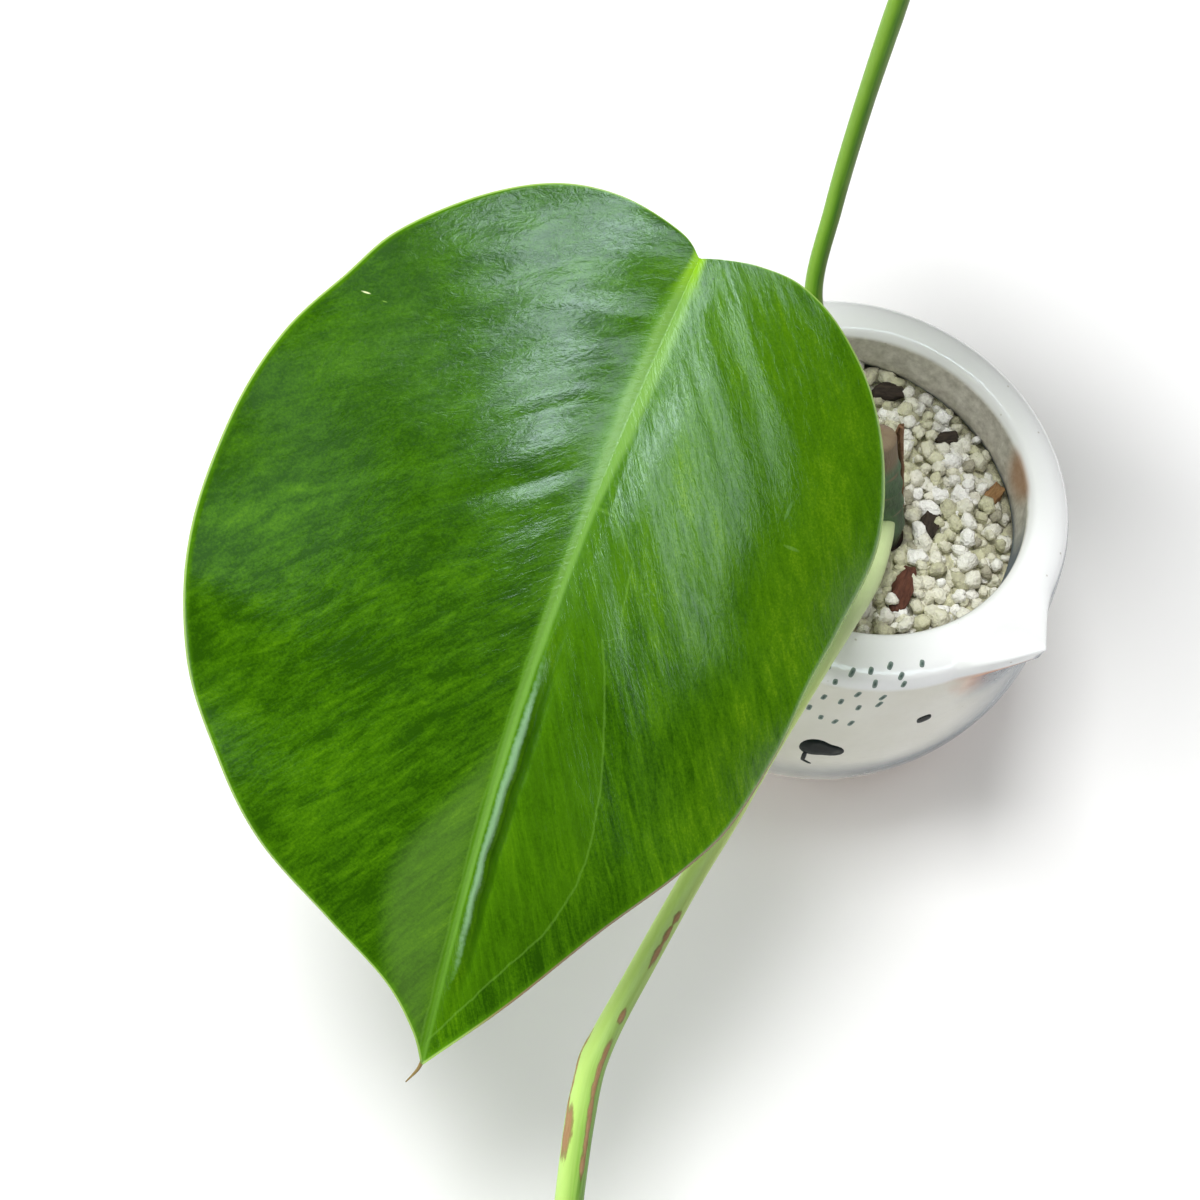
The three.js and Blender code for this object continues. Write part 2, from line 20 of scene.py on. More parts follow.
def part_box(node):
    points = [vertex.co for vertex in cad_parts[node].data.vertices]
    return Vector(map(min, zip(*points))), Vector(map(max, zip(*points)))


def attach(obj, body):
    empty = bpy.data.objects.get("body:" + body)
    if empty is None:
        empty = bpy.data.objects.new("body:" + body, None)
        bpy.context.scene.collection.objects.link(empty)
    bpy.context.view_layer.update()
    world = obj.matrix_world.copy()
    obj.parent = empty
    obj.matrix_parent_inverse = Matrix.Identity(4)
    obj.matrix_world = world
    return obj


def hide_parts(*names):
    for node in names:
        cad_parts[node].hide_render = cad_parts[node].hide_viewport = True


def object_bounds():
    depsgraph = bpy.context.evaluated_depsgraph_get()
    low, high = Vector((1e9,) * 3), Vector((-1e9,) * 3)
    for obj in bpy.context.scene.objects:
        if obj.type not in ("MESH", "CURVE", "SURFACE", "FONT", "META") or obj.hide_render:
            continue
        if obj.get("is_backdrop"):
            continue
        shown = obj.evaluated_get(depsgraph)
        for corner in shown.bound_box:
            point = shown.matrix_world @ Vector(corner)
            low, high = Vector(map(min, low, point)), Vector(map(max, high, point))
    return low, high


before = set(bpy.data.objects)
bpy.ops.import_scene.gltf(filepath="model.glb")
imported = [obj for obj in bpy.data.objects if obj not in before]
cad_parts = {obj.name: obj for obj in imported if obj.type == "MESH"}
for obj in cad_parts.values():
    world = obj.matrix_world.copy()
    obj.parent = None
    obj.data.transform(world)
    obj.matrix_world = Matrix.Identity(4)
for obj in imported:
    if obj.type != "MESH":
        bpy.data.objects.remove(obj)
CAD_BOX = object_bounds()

log = logging.getLogger("potted_plant")

MM = 0.001
BODY = "root"

Colour = tuple[float, float, float, float]
Pair = tuple[float, float]
Triple = tuple[float, float, float]
Material = bpy.types.Material
BMesh = bmesh.types.BMesh
Vert = bmesh.types.BMVert

class Slot(Enum):
    """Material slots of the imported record."""

    GLAZE = "glaze"
    MIX = "potting_mix"
    PERLITE = "perlite"
    RED_BARK = "red_bark"
    TAN_BARK = "tan_bark"
    DARK_BARK = "dark_bark"
    STEM = "stem"
    DRY_BASE = "dry_leaf_base"
    STALK = "stalk"
    BLADE = "blade"


def linear(code: str) -> Colour:
    """Turns a screen colour such as '#3d7a12' into the linear values that a shader takes.

    Args:
        code: The colour as a hash and six hexadecimal digits.

    Returns:
        Red, green, blue and a full alpha.
    """
    shares = [int(code[i : i + 2], 16) / 255 for i in (1, 3, 5)]
    curve = [s / 12.92 if s <= 0.04045 else ((s + 0.055) / 1.055) ** 2.4 for s in shares]
    return (curve[0], curve[1], curve[2], 1.0)


def clamp01(value: float) -> float:
    """Keeps a value between 0 and 1."""
    return max(0.0, min(1.0, value))


def lerp(low: float, high: float, share: float) -> float:
    """Goes from low to high by a share of the way."""
    return low + (high - low) * share


def smooth(low: float, high: float, value: float) -> float:
    """Rises softly from 0 at low to 1 at high."""
    share = clamp01((value - low) / (high - low))
    return share * share * (3 - 2 * share)


def hump(value: float, middle: float, width: float) -> float:
    """A bell that is 1 in its middle and 0.37 one width away."""
    return math.exp(-(((value - middle) / width) ** 2))


def in_steps(table: Sequence[Pair], at: float) -> float:
    """Reads a value between the rows of a short table of (place, value).

    Args:
        table: Rows in rising order of place.
        at: The place to read.

    Returns:
        The value there, held level past both ends.
    """
    if at <= table[0][0]:
        return table[0][1]
    for (a, low), (b, high) in zip(table, table[1:]):
        if at <= b:
            return lerp(low, high, (at - a) / (b - a))
    return table[-1][1]


def bent(start: object, end: object, leave: object, arrive: object, share: float) -> object:
    """Goes from start to end, numbers or vectors, on a cubic with the slopes leave and arrive."""
    t2, t3 = share * share, share * share * share
    return (
        start * (2 * t3 - 3 * t2 + 1)
        + end * (3 * t2 - 2 * t3)
        + leave * (t3 - 2 * t2 + share)
        + arrive * (t3 - t2)
    )


def ruffle(x: float, y: float, z: float = 0.0) -> float:
    """Soft noise from -1 to 1 at a place, the same in every run."""
    return noise.noise(Vector((x, y, z)))


def eased(table: Sequence[Pair], at: float) -> float:
    """Reads a value between the rows of a short table, with soft turns at the rows.

    Args:
        table: Rows of (place, value), in rising order of place.
        at: The place to read.

    Returns:
        The value there, held level past both ends.
    """
    if at <= table[0][0]:
        return table[0][1]
    last = len(table) - 1
    for i in range(last):
        if at > table[i + 1][0]:
            continue
        before, after = table[max(i - 1, 0)], table[min(i + 2, last)]
        start, end = table[i], table[i + 1]
        gap = end[0] - start[0]
        leave = (end[1] - before[1]) / max(end[0] - before[0], 1e-6) * gap
        arrive = (after[1] - start[1]) / max(after[0] - start[0], 1e-6) * gap
        return bent(start[1], end[1], leave, arrive, (at - start[0]) / gap)
    return table[-1][1]


class EvenCurve:
    """A smooth curve through points, read by its share of length."""

    STEPS = 24

    def __init__(self, points: Sequence[Sequence[float]]) -> None:
        """Samples the curve once.

        Args:
            points: Points with two or three numbers each.
        """
        self.knots = [Vector((*p, 0.0)) if len(p) == 2 else Vector(p) for p in points]
        self.dots = [self.knots[0].copy()]
        for span in range(len(self.knots) - 1):
            for step in range(1, self.STEPS + 1):
                self.dots.append(self._between(span, step / self.STEPS))
        self.lengths = [0.0]
        for a, b in zip(self.dots, self.dots[1:]):
            self.lengths.append(self.lengths[-1] + (b - a).length)

    def _between(self, span: int, share: float) -> Vector:
        """One point on the span between two knots.

        Args:
            span: Number of the knot that the span starts from.
            share: How far along the span, 0 to 1.

        Returns:
            The point, on a curve whose slope at a knot follows its neighbours.
        """
        last = len(self.knots) - 1
        before, start = self.knots[max(span - 1, 0)], self.knots[span]
        end, after = self.knots[span + 1], self.knots[min(span + 2, last)]
        leave, arrive = (end - before) / 2, (after - start) / 2
        return bent(start, end, leave, arrive, share)

    @property
    def length(self) -> float:
        """Length of the whole curve."""
        return self.lengths[-1]

    def at(self, share: float) -> Vector:
        """The point at a share of the length."""
        goal = clamp01(share) * self.length
        i = max(1, min(bisect_left(self.lengths, goal), len(self.dots) - 1))
        gap = self.lengths[i] - self.lengths[i - 1]
        return self.dots[i - 1].lerp(self.dots[i], (goal - self.lengths[i - 1]) / max(gap, 1e-9))

    def direction(self, share: float) -> Vector:
        """The way the curve runs at a share of its length."""
        step = 0.004
        return (self.at(share + step) - self.at(share - step)).normalized()


def finish_piece(
    bm: BMesh, name: str, materials: Sequence[Material], slot: Slot, nodes: Sequence[str] = ()
) -> None:
    """Makes a finished piece of the plant from a mesh in millimetres, riding on the plant's one body.

    Args:
        bm: The mesh, which is used up.
        name: Name of the piece.
        materials: Its materials, in the order of the faces' material numbers.
        slot: The record's slot that its finish belongs to; not used.
        nodes: The frame's nodes that it stands for.
    """
    bmesh.ops.scale(bm, vec=(MM, MM, MM), verts=bm.verts)
    mesh = bpy.data.meshes.new(name)
    bm.to_mesh(mesh)
    bm.free()
    for material in materials:
        mesh.materials.append(material)
    mesh.shade_smooth()
    piece = bpy.data.objects.new(name, mesh)
    bpy.context.scene.collection.objects.link(piece)
    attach(piece, BODY)
    if nodes:
        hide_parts(*nodes)
    log.info("%s: %d faces", name, len(mesh.polygons))


def spin_outline(bm: BMesh, outline: Sequence[Pair], steps: int, closed: bool = False) -> None:
    """Turns an outline round the Z axis.

    Args:
        bm: The mesh to add it to.
        outline: Its points as (radius, height).
        steps: Number of steps in a full turn.
        closed: Whether its end joins its start.
    """
    dots = [bm.verts.new((radius, 0.0, height)) for radius, height in outline]
    ends = [*dots[1:], dots[0]] if closed else dots[1:]
    edges = [bm.edges.new(pair) for pair in zip(dots, ends)]
    turn = {"axis": (0, 0, 1), "cent": (0, 0, 0), "angle": math.tau}
    bmesh.ops.spin(bm, geom=dots + edges, steps=steps, use_merge=True, **turn)


class Wire:
    """An output socket to reckon with: each operation adds the node that it needs."""

    def __init__(self, bench: "NodeBench", socket: bpy.types.NodeSocket) -> None:
        """Keeps the socket and the bench that its node lies on."""
        self.bench = bench
        self.socket = socket

    def __add__(self, other: object) -> "Wire":
        """The sum."""
        return self.bench.math("ADD", self, other)

    def __sub__(self, other: object) -> "Wire":
        """The difference."""
        return self.bench.math("SUBTRACT", self, other)

    def __mul__(self, other: object) -> "Wire":
        """The product."""
        return self.bench.math("MULTIPLY", self, other)

    def __truediv__(self, other: object) -> "Wire":
        """The quotient."""
        return self.bench.math("DIVIDE", self, other)

    def __abs__(self) -> "Wire":
        """The value without its sign."""
        return self.bench.math("ABSOLUTE", self)

    def rise(self, low: float, high: float, to_low: float = 0.0, to_high: float = 1.0) -> "Wire":
        """Goes softly from to_low at low to to_high at high."""
        inputs = {"Value": self, "From Min": low, "From Max": high, "To Min": to_low, "To Max": to_high}
        return self.bench.wire("ShaderNodeMapRange", inputs, interpolation_type="SMOOTHSTEP")

    def fade(self, low: float, high: float, start: float = 1.0) -> "Wire":
        """Falls softly from start at low to 0 at high."""
        return self.rise(low, high, start, 0.0)


class NodeBench:
    """Adds nodes to a material or a node group and joins them."""

    def __init__(self, tree: bpy.types.NodeTree) -> None:
        """Keeps the tree to work in."""
        self.tree = tree

    def put(self, socket: bpy.types.NodeSocket, value: object) -> None:
        """Joins a wire to a socket, or sets it to a plain value or a screen colour."""
        if isinstance(value, Wire):
            self.tree.links.new(value.socket, socket)
        else:
            socket.default_value = linear(value) if isinstance(value, str) else value

    def add(self, kind: str, inputs: dict | None = None, **settings: object) -> bpy.types.Node:
        """Adds one node.

        Args:
            kind: Blender's name for the kind of node.
            inputs: Values or wires for its inputs, by name or number.
            **settings: The node's own settings.

        Returns:
            The node.
        """
        node = self.tree.nodes.new(kind)
        for key, value in settings.items():
            setattr(node, key, value)
        for key, value in (inputs or {}).items():
            self.put(node.inputs[key], value)
        return node

    def wire(self, kind: str, inputs: dict | None = None, output: int | str = 0, **settings: object) -> Wire:
        """Adds one node and hands out the wire from one of its outputs."""
        return Wire(self, self.add(kind, inputs, **settings).outputs[output])

    def math(self, operation: str, *values: object, clamp: bool = False) -> Wire:
        """Joins up to three numbers by one operation."""
        return self.wire("ShaderNodeMath", dict(enumerate(values)), operation=operation, use_clamp=clamp)

    def mix(self, share: object, a: object, b: object) -> Wire:
        """Mixes colour b into colour a by a share."""
        return self.wire("ShaderNodeMix", {0: share, 6: a, 7: b}, 2, data_type="RGBA")

    def layered(self, base: object, *layers: tuple[object, object]) -> object:
        """Lays colours over a base colour one after the other, each by its share."""
        for share, colour in layers:
            base = self.mix(share, base, colour)
        return base

    def ramp(self, share: object, stops: Sequence[tuple[float, str]]) -> Wire:
        """Reads a colour from a few stops between 0 and 1."""
        node = self.add("ShaderNodeValToRGB", {0: share})
        elements = node.color_ramp.elements
        while len(elements) < len(stops):
            elements.new(0.5)
        for element, (place, code) in zip(elements, stops):
            element.position = place
            element.color = linear(code)
        return Wire(self, node.outputs[0])

    def noise(
        self, place: object, scale: object, detail: float = 3.0, roughness: float = 0.5, warp: float = 0.0
    ) -> Wire:
        """Soft noise from 0 to 1 at a place."""
        inputs = {"Vector": place, "Scale": scale, "Detail": detail, "Roughness": roughness}
        return self.wire("ShaderNodeTexNoise", inputs | {"Distortion": warp})

    def cells(self, place: object, scale: object, feature: str = "F1") -> Wire:
        """Distance inside small irregular cells."""
        return self.wire("ShaderNodeTexVoronoi", {"Vector": place, "Scale": scale}, feature=feature)

    def distance(self, place: object, origin: Triple = (0.0, 0.0, 0.0)) -> Wire:
        """Distance of a place from an origin."""
        return self.wire("ShaderNodeVectorMath", {0: place, 1: origin}, "Value", operation="DISTANCE")

    def point(self, x: object, y: object, z: object = 0.0) -> Wire:
        """A point from three numbers."""
        return self.wire("ShaderNodeCombineXYZ", {0: x, 1: y, 2: z})

    def parts(self, place: object) -> tuple[Wire, ...]:
        """The three numbers of a point."""
        return tuple(Wire(self, socket) for socket in self.add("ShaderNodeSeparateXYZ", {0: place}).outputs)

    def attribute(self, name: str, output: str = "Fac") -> Wire:
        """The piece's own attribute of that name."""
        return self.wire("ShaderNodeAttribute", output=output, attribute_name=name)

    def object_place(self) -> Wire:
        """The place on the object, in millimetres."""
        coordinates = self.wire("ShaderNodeTexCoord", output="Object")
        return self.wire("ShaderNodeMapping", {"Vector": coordinates, "Scale": (1 / MM,) * 3})

    def bump(self, height: object, depth: float, below: object = None) -> Wire:
        """Surface relief of a depth in millimetres, on top of the normal below if there is one."""
        inputs = {"Height": height, "Distance": depth * MM, "Strength": 1.0}
        if below is not None:
            inputs["Normal"] = below
        return self.wire("ShaderNodeBump", inputs)

    def group(self, tree: bpy.types.NodeTree, **inputs: object) -> Wire:
        """Places a shared node group with its own values."""
        named = {key.capitalize(): value for key, value in inputs.items()}
        return self.wire("ShaderNodeGroup", named, node_tree=tree)


class Surface(NodeBench):
    """The nodes of one material with a Principled shader."""

    def __init__(self, name: str, **plain: object) -> None:
        """Starts the material.

        Args:
            name: Name of the material.
            **plain: Values that are the same all over, by the socket's name with _ for a space.
        """
        self.material = bpy.data.materials.new(name)
        self.material.use_nodes = True
        super().__init__(self.material.node_tree)
        self.tree.nodes.clear()
        self.shader = self.add("ShaderNodeBsdfPrincipled")
        for key, value in plain.items():
            self.shader.inputs[key.replace("_", " ")].default_value = value
        output = self.add("ShaderNodeOutputMaterial")
        self.tree.links.new(self.shader.outputs[0], output.inputs[0])

    def done(self, colour: Wire, roughness: Wire, normal: Wire | None = None) -> Material:
        """Joins what changes over the surface to its shader, and hands out the material."""
        self.put(self.shader.inputs["Base Color"], colour)
        self.put(self.shader.inputs["Roughness"], roughness)
        if normal is not None:
            self.put(self.shader.inputs["Normal"], normal)
        return self.material


class SharedEffects:
    """Node groups that more than one material uses."""

    def __init__(self) -> None:
        """Builds each group once."""
        self.skin_grain = self._skin_grain()
        self.mottling = self._mottling()
        self.pitting = self._pitting()

    @staticmethod
    def _start(name: str, output: str, **numbers: float) -> tuple[NodeBench, list[Wire]]:
        """Starts a group with a place, some numbers and one output.

        Args:
            name: Name of the group.
            output: Name of its one output.
            **numbers: Its number inputs and their usual values.

        Returns:
            A bench on the group, and the wires from its inputs.
        """
        tree = bpy.data.node_groups.new(name, "ShaderNodeTree")
        tree.interface.new_socket(name="Place", in_out="INPUT", socket_type="NodeSocketVector")
        for key, value in numbers.items():
            title = key.capitalize()
            socket = tree.interface.new_socket(name=title, in_out="INPUT", socket_type="NodeSocketFloat")
            socket.default_value = value
        tree.interface.new_socket(name=output, in_out="OUTPUT", socket_type="NodeSocketFloat")
        bench = NodeBench(tree)
        given = bench.add("NodeGroupInput").outputs
        return bench, [Wire(bench, given[i]) for i in range(1 + len(numbers))]

    def _skin_grain(self) -> bpy.types.NodeTree:
        """Fine leathery grain of a plant's skin: small cells on soft lumps."""
        bench, (place, scale, share) = self._start("skin_grain", "Height", scale=1.0, cells=0.5)
        height = bench.noise(place, scale, 2.0) - bench.cells(place, scale * 2.6) * share
        bench.add("NodeGroupOutput", {0: height})
        return bench.tree

    def _mottling(self) -> bpy.types.NodeTree:
        """Cloudy blotches with a set contrast."""
        bench, (place, scale, contrast) = self._start("mottling", "Mask", scale=1.0, contrast=1.0)
        spread = (bench.noise(place, scale, 3.0, 0.62) - 0.5) * contrast
        bench.add("NodeGroupOutput", {0: bench.math("ADD", spread, 0.5, clamp=True)})
        return bench.tree

    def _pitting(self) -> bpy.types.NodeTree:
        """Rounded pits of a porous grain, large ones and small ones between them."""
        bench, (place, scale, depth) = self._start("pitting", "Height", scale=1.0, depth=1.0)
        both = bench.cells(place, scale * 2.7) * 0.5 + bench.cells(place, scale)
        bench.add("NodeGroupOutput", {0: both * depth})
        return bench.tree


@dataclass(frozen=True)
class BladeFinish:
    """Green leathery skin of a blade: pale rib, mottling along the veins and a thin pale margin."""

    deep: str = "#264f01"
    middle: str = "#3b6b02"
    bright: str = "#4f8104"
    straw: str = "#6f9c10"
    rib: str = "#74a344"
    rib_glow: str = "#62a014"
    nub: str = "#86bb12"
    margin: str = "#a9cc6a"
    margin_brown: str = "#a98a6c"
    sector: str = "#457602"
    sector_line: str = "#74a53c"
    # paler grey-green with a painted sheen, for the sector left of the midrib near the tip
    pale_sheen_sector: str = "#6d9444"
    # painted highlight: bluish pale colour laid along the crest of the fold beside the lower midrib
    crease: str = "#94bb96"
    underside: str = "#86a866"
    under_blotch: str = "#6c9150"
    under_net: str = "#a4bf7e"
    under_rib: str = "#a9cb74"
    marks: tuple[tuple[float, float, float, float, float, str], ...] = (
        (-47.0, 22.9, 0.9, 0.16, 0.95, "#dfe8b0"),
        (-43.5, 23.4, 0.5, 0.12, 0.5, "#8fb84a"),
        # painted highlight: these two pale strokes are a small check-shaped glint on the right half
        (30.0, 33.6, 0.35, 2.1, 0.28, "#7fae6a"),
        (33.0, 39.2, 1.7, 0.35, 0.26, "#86b05e"),
        (3.4, 2.6, 0.2, 0.2, 0.8, "#24420e"),
        (-3.1, 12.4, 0.16, 0.3, 0.7, "#2b4a12"),
    )

    def _green(self, bench: NodeBench, effects: SharedEffects, place: Sequence[Wire], vein: Wire) -> Wire:
        """Mottled green that follows the lateral veins.

        Args:
            bench: Where the nodes go.
            effects: The shared node groups.
            place: Across from the midrib, along it, and gap to the margin.
            vein: The place on the midrib that the nearest vein leaves from.

        Returns:
            The colour.
        """
        across, along, gap = place
        side = bench.math("SIGN", across)
        streaks = bench.noise(bench.point(abs(across) * 0.12, vein * 0.44, side), 1.0, 4.0, 0.64, 0.6)
        blotch_place = bench.point(across * 0.05, vein * 0.075, side)
        blotches = bench.group(effects.mottling, place=blotch_place, scale=1.0, contrast=2.0)
        mottle = bench.noise(bench.point(across * 0.6, vein * 0.9, side), 0.42, 3.5, 0.76, 0.5)
        speckle = bench.noise(bench.point(across, along, side), 2.3, 2.0, 0.75)
        lower = along.rise(22.0, 88.0)
        streaks = (streaks - 0.5) * lower.rise(0.0, 1.0, 0.42, 1.0) + 0.44
        mottle = (mottle - 0.5) * lower.rise(0.0, 1.0, 0.6, 1.0)
        tone = blotches * 0.24 + streaks * 0.76 + (speckle * 0.56 - 0.28) + mottle * 0.85
        # painted light: the right half, which falls away from the light, is painted lighter and the left half a
        # little darker
        to_right = across.rise(-14.0, 14.0, -0.09, 0.18) + across.rise(24.0, 40.0, 0.0, 0.07)
        tone = tone + to_right + along.rise(60.0, 110.0, 0.0, 0.07)
        dim = across.rise(2.0, 8.0) * across.fade(24.0, 34.0) * along.rise(54.0, 76.0)
        tone = tone - dim * 0.22 - gap.fade(0.0, 9.0) * 0.07
        stops = [(0.24, self.deep), (0.48, self.middle), (0.72, self.bright), (0.98, self.straw)]
        return bench.ramp(tone, stops)

    def upper(self, name: str, effects: SharedEffects, marked: bool = False) -> Material:
        """Builds the upper face's material.

        Args:
            name: Name of the material.
            effects: The shared node groups.
            marked: Whether this blade has the small marks and painted glints.

        Returns:
            The material.
        """
        bench = Surface(name, IOR=1.45)
        place = bench.parts(bench.attribute("blade_place", "Vector"))
        across, along, gap = place
        vein = bench.attribute("vein_line")
        away, side = abs(across), bench.math("SIGN", across)
        spot = bench.point(across, along, side)
        cloud = bench.noise(spot, 0.22, 4.0, 0.6)

        right = cloud * 1.2 + bench.attribute("right_sector") - 0.6
        patchy = right.rise(-0.12, 0.12) * cloud.rise(0.25, 0.7, 0.15, 0.62)
        # painted sheen: the paler sector left of the midrib near the tip, partly the blade's own paler tone
        dull = bench.attribute("left_sector").rise(-1.2, 3.5) * 0.3
        opening = along.rise(0.0, 13.0, 0.75, 2.05)
        closing = along.rise(28.0, 48.0, 2.05, 1.0) * along.rise(48.0, 118.0, 1.0, 0.5)
        beside = away / bench.math("MINIMUM", opening, closing)
        glow = beside.fade(0.6, 2.3) * (across.fade(-0.4, 0.8) * 0.36 + 0.14)
        weaker = along.rise(22.0, 60.0, 1.0, 0.74) * along.rise(96.0, 134.0, 1.0, 0.35)
        core = (cloud * 0.5 + beside).fade(0.8, 1.55) * weaker
        fold = bench.attribute("fold")
        ruffled = bench.noise(bench.point(across, along), 1.3, 3.0) * 0.5 + fold
        low_right = across.rise(4.0, 12.0) * along.rise(62.0, 84.0)
        green = bench.layered(
            self._green(bench, effects, place, vein),
            (patchy, self.sector),
            (abs(right).fade(0.05, 0.3) * 0.3, self.sector_line),
            (dull, self.pale_sheen_sector),
            (glow, self.rib_glow),
            (core, self.rib),
            (along.fade(1.0, 9.0) * beside.fade(0.6, 2.2), self.nub),
            # painted highlight on the fold's crest, then painted shadow in deep green in the dip beside it
            (ruffled.rise(0.55, 1.15, 0.0, 0.6), self.crease),
            ((fold * -1.0).rise(0.06, 0.34, 0.0, 0.7), self.deep),
            (gap.fade(0.3, 1.5) * 0.35, self.rib_glow),
            (gap.fade(0.16, 0.5) * 0.85, bench.mix(low_right, self.margin, self.margin_brown)),
        )
        if marked:
            green = self._marks_and_glints(bench, green, across, along)

        crinkle = bench.noise(bench.point(away * 0.55, vein, side), 0.85, 3.0, 0.66, 0.8)
        grain = bench.group(effects.skin_grain, place=spot, scale=2.2, cells=0.2)
        normal = bench.bump(grain, 0.007, bench.bump(crinkle, 0.075))
        return bench.done(green, cloud.rise(0.2, 0.8, 0.16, 0.21), normal)

    def _marks_and_glints(self, bench: NodeBench, green: object, across: Wire, along: Wire) -> object:
        """Small marks: one white nick with a green fleck beside it, two pale strokes of painted highlight, and two
        dark specks.

        Args:
            bench: Where the nodes go.
            green: The colour below them.
            across: Millimetres across from the midrib.
            along: Millimetres along it.

        Returns:
            The colour with the marks.
        """
        fine = bench.noise(bench.point(across, along), 1.4, 4.0, 0.7) * 1.2
        for u, v, long, wide, strength, code in self.marks:
            x, y = (across - u) / long, (along - v) / wide
            reach = x * x + y * y + fine
            green = bench.mix(reach.fade(0.8, 1.7, strength), green, code)
        return green

    def lower(self, effects: SharedEffects) -> Material:
        """Builds the paler, duller underside's material.

        Args:
            effects: The shared node groups.

        Returns:
            The material.
        """
        bench = Surface("blade_underside", IOR=1.4)
        across, along, gap = bench.parts(bench.attribute("blade_place", "Vector"))
        away = abs(across)
        place = bench.point(across, along)
        cloud = bench.group(effects.mottling, place=place, scale=0.09, contrast=1.6)
        net_place = bench.point(away * 0.5, bench.attribute("vein_line"))
        net = bench.cells(net_place, 0.6, "DISTANCE_TO_EDGE")
        green = bench.layered(
            bench.ramp(cloud, [(0.2, self.under_blotch), (0.8, self.underside)]),
            (net.fade(0.0, 0.12, 0.35), self.under_net),
            (away.fade(0.8, 2.6), self.under_rib),
            (gap.fade(0.2, 0.7) * 0.7, self.margin),
        )
        grain = bench.group(effects.skin_grain, place=place, scale=1.6, cells=0.4)
        return bench.done(green, cloud.rise(0.0, 1.0, 0.55, 0.7), bench.bump(grain, 0.1))


@dataclass(frozen=True)
class StalkFinish:
    """Smooth green leaf stalk with painted light and shade round it, the lit side paler, brown corky scars where it
    was rubbed, and a stretch painted paler where a blade shades it.
    """

    lit: str
    middle: str
    shaded: str
    far: str
    ripe: str = "#8fbf1c"
    painted_light_tint: str = "#e0f696"
    wash: str = "#c9d6b0"
    scar: str = "#b3906a"
    scar_edge: str = "#7d5a3c"
    cork: str = "#93704c"
    painted_lift_from: float = -100.0

    def material(self, name: str, effects: SharedEffects) -> Material:
        """Builds the stalk's material.

        Args:
            name: Name of the material.
            effects: The shared node groups.

        Returns:
            The material.
        """
        bench = Surface(name, IOR=1.36)
        x, y, along = bench.parts(bench.attribute("grown_place", "Vector"))
        straight = bench.point(x, y, along * 0.22)
        wander = bench.noise(straight, 0.35, 4.0) * 0.36 - 0.18
        share = (bench.attribute("turned_to_light") + wander).rise(-1.0, 1.0)
        stops = [(0.1, self.far), (0.34, self.shaded), (0.62, self.middle), (0.9, self.lit)]
        fibres = bench.noise(bench.point(x, y, along * 0.05), 2.4, 4.0, 0.6)
        scar = bench.attribute("scar") + (bench.noise(straight, 1.5, 4.0, 0.7) * 0.9 - 0.45)
        corky = scar.rise(0.0, 0.22)
        flakes = bench.noise(straight, 2.2, 5.0, 0.7)
        green = bench.layered(
            bench.ramp(share, stops),
            (fibres.rise(0.3, 0.7, 0.0, 0.3), self.lit),
            (bench.attribute("ripe"), self.ripe),
            # painted light: past the given place the stalk is painted paler, fading over 100 mm, where a blade's
            # shadow falls on it
            (along.fade(self.painted_lift_from, self.painted_lift_from + 100.0, 0.8), self.painted_light_tint),
            (along.fade(self.painted_lift_from - 26.0, self.painted_lift_from, 0.62), self.wash),
            (scar.rise(-0.18, 0.05) * 0.75, self.scar_edge),
            (corky, bench.ramp(flakes, [(0.3, self.cork), (0.7, self.scar)])),
        )
        grain = bench.group(effects.skin_grain, place=straight, scale=1.6, cells=0.2)
        normal = bench.bump(corky * flakes * 1.6 + grain, 0.08)
        return bench.done(green, corky.rise(0.0, 1.0, 0.42, 0.85), normal)


@dataclass(frozen=True)
class StemFinish:
    """Dark grey-green stem with brown scars."""

    green: str = "#607c5a"
    dark: str = "#465c42"
    brown: str = "#8a6f5a"
    foot: str = "#3a2c20"

    def material(self, effects: SharedEffects) -> Material:
        """Builds the stem's material.

        Args:
            effects: The shared node groups.

        Returns:
            The material.
        """
        bench = Surface("stem_skin", IOR=1.45)
        x, y, along = bench.parts(bench.attribute("grown_place", "Vector"))
        straight = bench.point(x, y, along * 0.3)
        cloud = bench.group(effects.mottling, place=straight, scale=0.4, contrast=1.8)
        green = bench.layered(
            bench.ramp(cloud, [(0.25, self.dark), (0.7, self.green)]),
            (bench.attribute("scar").rise(0.1, 0.6), self.brown),
            (along.rise(50.0, 55.0, 0.0, 0.8), self.brown),
            (along.fade(24.0, 31.0) * 0.7, self.foot),
        )
        grain = bench.group(effects.skin_grain, place=straight, scale=1.2, cells=0.4)
        return bench.done(green, cloud.rise(0.0, 1.0, 0.5, 0.75), bench.bump(grain, 0.2))


